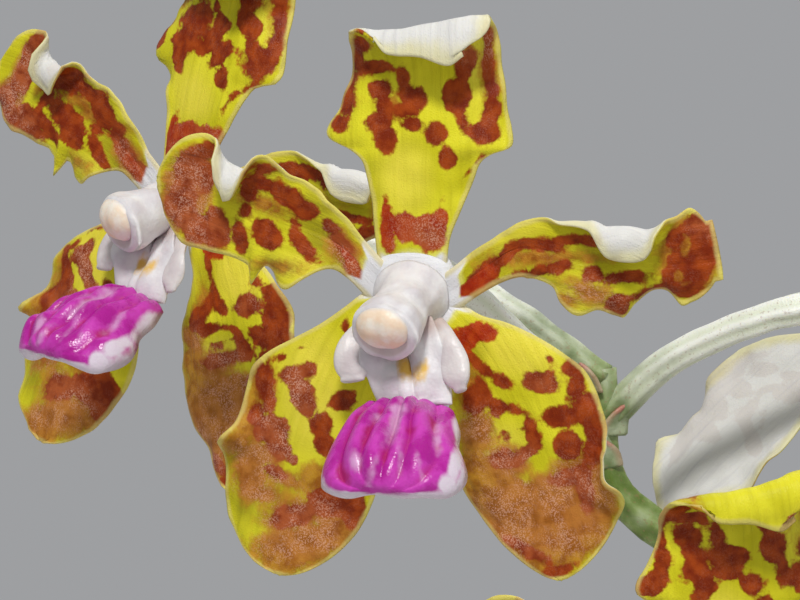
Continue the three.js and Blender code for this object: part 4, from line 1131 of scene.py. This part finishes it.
# The fan: strap leaves in two rows, and the sheaths that their feet wrap round the stem
STEM = {
    "bottom": 84, "first": 104, "spacing": 13, "leaves": 12, "deep": 4, "wide": 4.4, "flare": 3.4,
    "core_deep": 3.5, "core_wide": 3.9, "core_rows": 40, "core_around": 32,
}
SHEATH = {"half": 0.32, "turn": 135, "rows": 31, "columns": 45}
LEAF = {"length": 172, "half_width": 8.6, "half_thick": 0.62, "rows": 81, "columns": 37}
FAN_TURN = math.radians(76)
FAN = vec(math.cos(FAN_TURN), math.sin(FAN_TURN), 0)
ACROSS = vec(-FAN[1], FAN[0], 0)
UP = vec(0, 0, 1)


def leaf_side(k):
    return 1 if k % 2 else -1


def mouth_height(k):
    return STEM["first"] + STEM["spacing"] * k + 16


def leaf_shape(k):
    """Leaf k, channelled, arching outwards and bitten at its tip."""
    share = k / (STEM["leaves"] - 1)
    rise = math.radians(float(track([[0, 40], [0.5, 56], [1, 74]], share)))
    outward = FAN * leaf_side(k)
    ahead = outward * math.cos(rise) + UP * math.sin(rise)
    front = -outward * math.sin(rise) + UP * math.cos(rise)
    wobble = 5 * math.sin(2.4 * k + 0.7)
    half = LEAF["half_width"]
    spec = {
        "start": tuple(outward * (STEM["deep"] + 0.8) + UP * (mouth_height(k) - 1)),
        "length": LEAF["length"] * float(track([[0, 0.8], [0.35, 1], [0.7, 0.92], [1, 0.62]], share)),
        "tipFrom": 0.9, "tipLeast": 0.72,
        "widthLeft": [[0, half], [0.5, half], [0.9, half - 1], [1, half - 1.6]],
        "widthRight": [[0, half], [0.5, half], [0.9, half - 1.2], [1, half - 2.4]],
        "bend": [[0, 0], [0.3, -14], [0.7, -50 + 28 * share**2], [1, -78 + 44 * share**2]],
        "sway": [[0, 0], [0.4, wobble * 0.4], [1, wobble]],
        "twist": [[0, 0], [1, wobble * 1.2]],
        "cup": [[0, 62], [0.15, 50], [0.5, 34], [1, 22]],
        "notch": [[-1, -2.5], [-0.55, 1.5], [0, -7], [0.5, 2.5], [1, -1]],
    }
    u, t = np.linspace(0, 1, LEAF["rows"]), np.linspace(-1, 1, LEAF["columns"])
    grid, width = blade_grid(spec, (ahead, front), u, t)
    wave = 0.5 * smooth(np.abs(t), 0.3, 1) * ripple(grid, 42, 50 + k) + 0.12 * ripple(grid, 13, 80 + k)
    grid = grid + normals(grid) * (wave - 0.35 * np.exp(-((t / 0.07) ** 2)))[..., None]
    # A keel runs below the middle, and the leaf thins towards its edges
    half_thick = LEAF["half_thick"] * (1 - 0.5 * np.abs(t) ** 2 + 0.5 * np.exp(-((t / 0.12) ** 2)))
    points, faces, rim = closed_sheet(grid, half_thick + 0 * width)
    edge, grain = blade_fields(spec, u, t, width, 11.0 * k)
    return shape(points, faces, zone=sided_field(edge, u[:, None], 0, rim), grain=sheet_field(grain, rim))


def leaf_finish():
    f = Finish("strap_leaf", Roughness=0.36)
    edge, along, front = f.parts(f.field("zone"))
    grain = f.field("grain")
    across = f.parts(grain)[1]
    veins = f.streaks(grain, (0.015, 2.4, 1), 3, 0.6)
    broad = f.streaks(grain, (0.03, 0.16, 1))
    spots = f.noise(grain, 0.5, 2)
    top = f.tones(broad, 0.3, 0.7, (44, 84, 26), (78, 118, 42))
    top = f.blend(f.span(veins, 0.42, 0.68, 0, 0.5), top, (92, 132, 54))
    below = f.tones(veins, 0.4, 0.7, (104, 136, 72), (128, 156, 92))
    # Over both sides: the pale middle and edges, spots, the worn tip, the pale foot and dust
    colour = f.layers(
        f.tones(front, 0.35, 0.6, below, top),
        (f.span(f.product(across, across), 0.02, 0.5, 0.55, 0), (128, 158, 82)),
        (f.span(edge, 0.15, 0.6, 0.6, 0), (150, 160, 84)),
        (f.span(spots, 0.7, 0.76, 0, 0.55), (120, 96, 46)),
        (f.span(f.sum(along, f.spread(spots, 0.08)), 0.975, 0.995), (146, 118, 66)),
        (f.span(along, 0.0, 0.14, 0.55, 0), (138, 158, 84)),
        (f.span(f.noise(grain, 1.6, 3), 0.56, 0.75, 0, 0.2), (170, 180, 150)),
    )
    f.set(Base_Color=colour, Roughness=f.span(broad, 0.3, 0.7, 0.3, 0.46))
    f.set(Normal=f.bump(veins, 0.28, f.bump(f.noise(grain, 5.0, 2), 0.03)))
    f.glow(0.06, 2.0, 0.5, 1.0, 0.2)
    return f.material


def stem_core():
    def section(_, angle):
        return STEM["core_deep"] * np.cos(angle), STEM["core_wide"] * np.sin(angle)

    top = mouth_height(STEM["leaves"] - 1)
    path = [(0, 0, STEM["bottom"]), (0, 0, (STEM["bottom"] + top) / 2), (0, 0, top + 8)]
    rings, _, _ = swept(path, vec(1, 0, 0), STEM["core_rows"], STEM["core_around"], section)
    points, faces = lofted(rings[:, ::-1])
    x, y, z = points.T
    return shape(points, faces, zone=stacked(2.0, smooth(z, 90, 150), 0.0), grain=stacked(z, x, y))


def sheath_shape(k):
    """The foot of leaf k wrapped round the stem, keeled on its own side."""
    outward, mouth = FAN * leaf_side(k), mouth_height(k)
    v, c = np.linspace(0, 1, SHEATH["rows"])[:, None], np.linspace(-1, 1, SHEATH["columns"])[None, :]
    foot = mouth - 2 * STEM["spacing"] - 2
    top = mouth - 6 * np.abs(c) ** 1.6 + 0.5 * ripple(c[..., None] * 30, 14, 20 + k)
    z = foot + (top - foot) * v
    angle = np.radians(SHEATH["turn"] * c)
    keel = 1 + 0.1 * np.exp(-((angle / 0.22) ** 2)) * v
    ahead, behind = STEM["deep"] + STEM["flare"] * v * keel, STEM["deep"] - 0.3 + 0.35 * v
    along = np.where(np.cos(angle) > 0, ahead, behind) * np.cos(angle)
    beside = (STEM["wide"] - 0.25 + 0.5 * v) * np.sin(angle)
    place = along[..., None] * outward + beside[..., None] * ACROSS * leaf_side(k)
    grid = place + z[..., None] * UP
    grid = grid + 0.12 * ripple(grid, 7, 40 + k)[..., None] * unit(place)
    half = SHEATH["half"] * (1 - 0.6 * np.abs(c) ** 4) + 0 * v
    points, faces, rim = closed_sheet(grid, half)
    zone = stacked((1 - np.abs(c)) * 9, smooth(z, 112, 168), v)
    grain = stacked(z, SHEATH["turn"] * c * 0.08, 9.0 * k)
    return shape(points, faces, zone=sheet_field(zone, rim), grain=sheet_field(grain, rim))


def sheath_finish():
    f = Finish("leaf_sheath", Roughness=0.5)
    edge, fresh, up = f.parts(f.field("zone"))
    grain = f.field("grain")
    fibres = f.streaks(grain, (0.04, 2.6, 1), 3, 0.6)
    patches = f.streaks(grain, (0.1, 0.3, 1))
    alive = f.span(f.sum(fresh, f.spread(patches, 0.9)), 0.25, 0.7)
    colour = f.layers(
        f.tones(fibres, 0.35, 0.65, (112, 84, 52), (176, 148, 104)),
        (alive, f.tones(fibres, 0.4, 0.7, (98, 128, 58), (140, 164, 88))),
        (f.span(edge, 0.2, 1.4, 0.7, 0), (196, 188, 140)),
        (f.span(up, 0.93, 1.0, 0, 0.6), (160, 140, 90)),
    )
    f.set(Base_Color=colour, Roughness=f.span(alive, 0, 1, 0.75, 0.42), Normal=f.bump(fibres, 0.25))
    return f.material


def make_fan():
    leaf = leaf_finish()
    for k in range(STEM["leaves"]):
        make_piece(f"strap_leaf_{k + 1:02d}", leaf_shape(k), leaf, [f"leaf_{k + 1:02d}"])
    sheaths = [stem_core()] + [sheath_shape(k) for k in range(STEM["leaves"])]
    make_piece("sheathed_stem", joined(sheaths), sheath_finish(), ["stem"])


# Roots: silvery; the long ones, which hang over the rim, have green growing ends
ROOT = {"radius": 2.3, "rows": 60, "long_rows": 110, "around": 32, "long_ones": 2}
ROOTS = [
    [(-4, -3, 112), (-18, -12, 122), (-40, -24, 124), (-60, -34, 121), (-71, -40, 110),
     (-72, -41, 88), (-68, -40, 66)],
    [(4, 3, 118), (18, -4, 128), (40, -14, 130), (62, -24, 124), (75, -29, 110), (76, -30, 90)],
    [(3, -4, 108), (12, -16, 112), (20, -30, 106), (26, -40, 92)],
    [(-4, 2, 106), (-16, 8, 112), (-30, 18, 107), (-38, 24, 92)],
    [(3, 4, 106), (16, 14, 110), (28, 24, 104), (34, 30, 90)],
]


def root_shape(k):
    long = k < ROOT["long_ones"]
    taper = np.array([[0, 1], [0.8, 0.95], [0.96, 0.85], [1, 0.4]]) * (1, ROOT["radius"])

    def section(v, angle):
        lump = 1 + 0.07 * ripple(stacked(v * 60, *circling(3, angle)), 9, 60 + k)
        return circling(track(taper, v) * lump, angle)

    rows = ROOT["long_rows"] if long else ROOT["rows"]
    rings, v, angle = swept(ROOTS[k], vec(0.1, 0.2, 1), rows, ROOT["around"], section)
    rings = rings + 0.35 * ripple(rings.mean(axis=1, keepdims=True), 16, 70 + k)[..., None] * UP
    points, faces = lofted(rings[:, ::-1])
    skin = stacked(v * 100, angle * ROOT["radius"], smooth(v, 0.86, 0.93) if long else 0.0)
    return shape(points, faces, skin=loft_field(skin[:, ::-1]))


def root_finish():
    f = Finish("root_skin", Roughness=0.75)
    tip = f.parts(f.field("skin"))[2]
    place = f.place()
    broad, fine = f.noise(place, 0.12, 3), f.noise(place, 1.3, 4, 0.6)
    growing = f.tones(fine, 0.3, 0.7, (120, 152, 48), (160, 180, 72))
    colour = f.layers(
        f.tones(fine, 0.35, 0.7, (166, 168, 152), (208, 208, 194)),
        (f.span(broad, 0.48, 0.7, 0, 0.6), (138, 152, 104)),
        (f.span(f.noise(place, 0.6, 3), 0.62, 0.72, 0, 0.5), (140, 112, 78)),
        (f.span(f.sum(tip, f.spread(fine, 0.5)), 0.3, 0.7), growing),
    )
    f.set(Base_Color=colour, Normal=f.bump(fine, 0.3, f.bump(f.noise(place, 6.0, 2), 0.08)))
    return f.material


# The bark: flat-sided chips over a packed bed
BARK = {
    "floor": 7.4, "bed": 90, "chips": 190, "planes": 13, "grid": 7, "from_wall": 9, "tilt": 32,
    "sizes": [(5, 10), (4, 7), (2.2, 4.2)], "low": (-4, 0), "high": (2, 7), "low_share": 0.4,
}
BED = {"rows": 40, "around": 64, "from_wall": 1.4}
POT = {"height": 112, "top": 62, "base": 46, "wall": 5, "floor": 7, "rim": 22, "rim_out": 4, "around": 192}
DRAIN = {"holes": 4, "radius": 4.5, "ring": 27, "around": 32}
GOLDEN_ANGLE = math.radians(137.5)


def pot_outside(z):
    return POT["base"] + (POT["top"] - POT["base"]) * z / POT["height"]


def pot_inside(z):
    return pot_outside(z) - POT["wall"]


def cube_sphere(steps):
    """Directions over a sphere with even quads, and those quads."""
    index, points, faces = {}, [], []
    slopes = [math.tan((i / steps - 0.5) * math.pi / 2) for i in range(steps + 1)]
    for axis, sign in itertools.product(range(3), (-1, 1)):
        grid = []
        for first, second in itertools.product(slopes, slopes):
            p = [0.0, 0.0, 0.0]
            p[axis], p[(axis + 1) % 3], p[(axis + 2) % 3] = sign, first, second * sign
            key = tuple(round(x, 6) for x in p)
            if key not in index:
                index[key] = len(points)
                points.append(p)
            grid.append(index[key])
        for i, j in itertools.product(range(steps), range(steps)):
            a = i * (steps + 1) + j
            faces.append((grid[a], grid[a + steps + 1], grid[a + steps + 2], grid[a + 1]))
    return unit(np.array(points)), faces


def chip_shape(directions, faces, random, place, size):
    """A chip cut by random planes, six of them nearly square to its own axes."""
    planes = unit(random.normal(size=(BARK["planes"], 3)))
    planes[:6] = unit(np.vstack([np.eye(3), -np.eye(3)]) + 0.12 * random.normal(size=(6, 3)))
    depths = random.uniform(0.86, 1.15, BARK["planes"])
    depths[:6] = random.uniform(0.8, 1.0, 6)
    reach = (depths / np.maximum(directions @ planes.T, 0.02)).min(axis=1)
    points = directions * reach[:, None] * size
    points = points + 0.35 * ripple(points, 5, int(random.integers(1000)))[:, None] * directions
    # Layers of bark show as steps along the thin direction
    layer = 0.05 * np.sin(points[:, 2] * 3.1 + random.uniform(0, 6))
    points = points * (1 + layer[:, None] * vec(1, 1, 0))
    turn = turn_matrix("z", random.uniform(0, 360))
    for axis in "xy":
        turn = turn @ turn_matrix(axis, random.uniform(-BARK["tilt"], BARK["tilt"]))
    layers = stacked(points[:, 0], points[:, 2], random.uniform(0, 1))
    return shape(points @ turn.T + place, faces, layer=layers)


def make_bark():
    random = np.random.default_rng(5)
    directions, faces = cube_sphere(BARK["grid"])
    parts = []
    for k in range(BARK["chips"]):
        share = (k % (BARK["chips"] * 0.5) + 0.7) / (BARK["chips"] * 0.6)
        size = vec(*(random.uniform(*limits) for limits in BARK["sizes"]))
        radius = min(1.0, math.sqrt(share)) * (pot_inside(BARK["bed"] + 2) - BARK["from_wall"])
        level = "low" if k < BARK["chips"] * BARK["low_share"] else "high"
        height = BARK["bed"] + random.uniform(*BARK[level])
        place = vec(radius * math.cos(k * GOLDEN_ANGLE), radius * math.sin(k * GOLDEN_ANGLE), height)
        parts.append(chip_shape(directions, faces, random, place, size))
    # The packed bed below, seen in the gaps and through the drain holes
    v, angle = np.linspace(0, 1, BED["rows"])[:, None], full_turn(BED["around"])
    z = np.clip(v * 1.2 - 0.1, 0, 1) * (BARK["bed"] - BARK["floor"]) + BARK["floor"]
    radius = pot_inside(z) - BED["from_wall"]
    radius = radius * np.sqrt(np.clip(np.minimum(v, 1 - v) * 10, 0.0004, 1))
    rings = stacked(*circling(radius, angle), z)
    rings[..., 2] += np.where(z > 80, 1.6 * ripple(rings, 9, 77), 0)
    points, bed_faces = lofted(rings)
    parts.append(shape(points, bed_faces, layer=stacked(points[:, 0], points[:, 2], 0.0)))
    make_piece("bark_chips", joined(parts), bark_finish(), ["bark"], flat=True)


def bark_finish():
    f = Finish("bark_chips", Roughness=0.85)
    layer, place = f.field("layer"), f.place()
    own = f.parts(layer)[2]
    fine, broad = f.noise(place, 1.4, 4, 0.65), f.noise(place, 0.25, 3)
    strata = f.streaks(layer, (0.1, 2.2, 5.0), 2)
    colour = f.layers(
        f.tones(fine, 0.3, 0.7, (74, 44, 26), (128, 82, 50)),
        (f.span(own, 0.2, 0.9, 0, 0.75), f.blend(fine, (96, 66, 46), (168, 124, 84))),
        (f.span(strata, 0.55, 0.7, 0, 0.5), (52, 32, 20)),
        (f.span(broad, 0.55, 0.75, 0, 0.3), (104, 104, 74)),
    )
    f.set(Base_Color=colour, Normal=f.bump(fine, 0.5, f.bump(strata, 0.4)))
    return f.material


# The pot: turned clay with a rim band and drain holes
def rounded(profile, radius, steps):
    """A profile of corners with each of them rounded, and long runs split into short ones."""
    corners = [np.array(p, float) for p in profile]
    line = [corners[0]]
    for a, b, c in zip(corners, corners[1:], corners[2:]):
        reach = min(radius, np.linalg.norm(a - b) * 0.45, np.linalg.norm(c - b) * 0.45)
        into, out = b + unit(a - b) * reach, b + unit(c - b) * reach
        for s in np.linspace(0, 1, steps):
            line.append((1 - s) ** 2 * into + 2 * s * (1 - s) * b + s**2 * out)
    line.append(corners[-1])
    fine = [line[0]]
    for a, b in zip(line, line[1:]):
        parts = max(1, math.ceil(np.linalg.norm(b - a) / 2.0))
        fine.extend(a + (b - a) * s / parts for s in range(1, parts + 1))
    return np.array(fine)


def make_pot():
    """The pot, turned as one profile and then pierced by its drain holes."""
    foot = POT["height"] - POT["rim"]
    rim, lip = POT["top"] + POT["rim_out"], POT["top"] - POT["wall"]
    profile = rounded([
        (0.01, 0), (POT["base"] - 1.5, 0), (POT["base"], 1.5), (pot_outside(foot), foot),
        (pot_outside(foot) + POT["rim_out"], foot + 2), (rim, POT["height"] - 3), (rim - 2.5, POT["height"]),
        (lip + 2, POT["height"]), (lip, POT["height"] - 2),
        (pot_inside(POT["floor"]), POT["floor"]), (0.01, POT["floor"]),
    ], 1.6, 5)
    angle = full_turn(POT["around"])
    radius, height = profile[:, :1], profile[:, 1:]
    # Faint rings from the wheel, and a wall that is a little out of round
    turning = 0.1 * np.sin(height * 1.9 + 0.6 * np.cos(angle)) + 0.07 * np.sin(height * 4.3)
    size = radius + smooth(radius, 30, 44) * (turning + 0.18 * np.cos(2 * angle + 0.4))
    points, faces = lofted(stacked(*circling(size, angle), height))
    pot = make_piece("clay_pot", shape(points, faces), clay_finish(), ["pot"])
    cutters = []
    levels = np.array([[-3.0], [POT["floor"] + 3.0]])
    for k in range(DRAIN["holes"]):
        turn = math.radians(45 + 360 * k / DRAIN["holes"])
        place = DRAIN["ring"] * vec(math.cos(turn), math.sin(turn), 0)
        ring = stacked(*circling(DRAIN["radius"], full_turn(DRAIN["around"])), levels)
        cutters.append(new_object("drain", new_mesh("drain", *lofted(ring + place))))
        modifier = pot.modifiers.new("drain", "BOOLEAN")
        modifier.operation, modifier.object, modifier.solver = "DIFFERENCE", cutters[-1], "EXACT"
    evaluated = pot.evaluated_get(bpy.context.evaluated_depsgraph_get())
    pierced = bpy.data.meshes.new_from_object(evaluated)
    pot.modifiers.clear()
    pot.data = pierced
    pierced.shade_smooth()
    for cutter in cutters:
        bpy.data.objects.remove(cutter)


def clay_finish():
    f = Finish("plain_clay", Roughness=0.85)
    place = f.place()
    height = f.parts(place)[2]
    fine, broad = f.noise(place, 1.5, 4, 0.6), f.noise(place, 0.035, 4)
    streaks = f.streaks(place, (0.05, 0.05, 0.012))
    rings = f.streaks(place, (0.01, 0.01, 1.6), 2)
    # Lime has come through below the rim and round the foot
    rim_salt = f.span(f.sum(streaks, f.product(fine, 0.25)), 0.52, 0.74, 0, 0.6)
    foot_salt = f.span(f.sum(broad, f.product(fine, 0.3)), 0.5, 0.8, 0, 0.6)
    salt = f.sum(f.product(f.span(height, 70, 92), rim_salt), f.product(f.span(height, 14, 2), foot_salt))
    colour = f.layers(
        f.tones(broad, 0.3, 0.7, (168, 88, 50), (196, 116, 72)),
        (f.span(fine, 0.3, 0.75, 0, 0.35), (150, 76, 44)),
        (f.span(f.sum(height, f.spread(streaks, 60)), 20, 60, 0.35, 0), (122, 66, 42)),
        (salt, (226, 206, 188)),
        (f.span(f.noise(place, 0.5, 2), 0.66, 0.74, 0, 0.4), (206, 150, 112)),
    )
    f.set(Base_Color=colour, Roughness=f.span(fine, 0.3, 0.7, 0.78, 0.95))
    f.set(Normal=f.bump(fine, 0.18, f.bump(rings, 0.3)))
    return f.material


make_spike()
make_fan()
root = root_finish()
for k in range(len(ROOTS)):
    make_piece(f"pale_root_{k + 1}", root_shape(k), root, [f"root_{k + 1}"])
make_bark()
make_pot()


# The studio: a pale floor that fades out, a soft key from above the camera, a weak fill and a top light
FLOOR = {"radius": 2200, "steps": 96, "fade": (1000, 2100)}
STUDIO = {"colour": (0.62, 0.63, 0.65, 1), "strength": 0.55}
LIGHTS = [
    # name, place, target, diameter in metres, power in watts
    ("key", (-0.16, -0.62, 1.0), (-0.09, -0.05, 0.33), 0.16, 5.2),
    ("fill", (0.9, -0.9, 0.5), (0, 0, 0.2), 0.8, 1.6),
    ("top", (0.2, 0.6, 1.3), (0, 0, 0.2), 0.8, 3),
]
SENSOR = 36


def make_stage():
    ring = FLOOR["radius"] * stacked(*circling(1, full_turn(FLOOR["steps"])), 0.0)
    mesh = new_mesh("floor", ring, [tuple(range(FLOOR["steps"]))])
    floor = new_object("floor", mesh)
    f = Finish("floor", Roughness=0.8)
    place = f.place()
    away = f.add("VectorMath", {"operation": "LENGTH"})
    f.feed(away.inputs[0], place)
    f.set(Base_Color=f.blend(f.noise(place, 0.02, 2), (226, 225, 223), (234, 233, 231)))
    f.set(Alpha=f.span(away.outputs["Value"], *FLOOR["fade"], 1, 0))
    mesh.materials.append(f.material)

    world = bpy.data.worlds.new("studio")
    world.use_nodes = True
    background = world.node_tree.nodes["Background"]
    background.inputs["Color"].default_value = STUDIO["colour"]
    background.inputs["Strength"].default_value = STUDIO["strength"]
    bpy.context.scene.world = world


def area_light(name, place, target, size, power):
    data = bpy.data.lights.new(name, "AREA")
    data.shape, data.size, data.energy = "DISK", size, power
    light = new_object(name, data)
    light.location = place
    light.rotation_euler = (Vector(target) - Vector(place)).to_track_quat("-Z", "Y").to_euler()


def make_camera():
    camera = new_object("camera", bpy.data.cameras.new("camera"))
    camera.location = PICTURE["camera"] * MM
    camera.rotation_euler = (math.pi / 2, 0, 0)
    camera.data.sensor_width = SENSOR
    camera.data.lens = SENSOR * PICTURE["scale"] / PICTURE["width"]
    camera.data.clip_start, camera.data.clip_end = 0.01, 100
    bpy.context.scene.camera = camera


make_stage()
for light in LIGHTS:
    area_light(*light)
make_camera()
bpy.context.scene.view_settings.view_transform = "Standard"
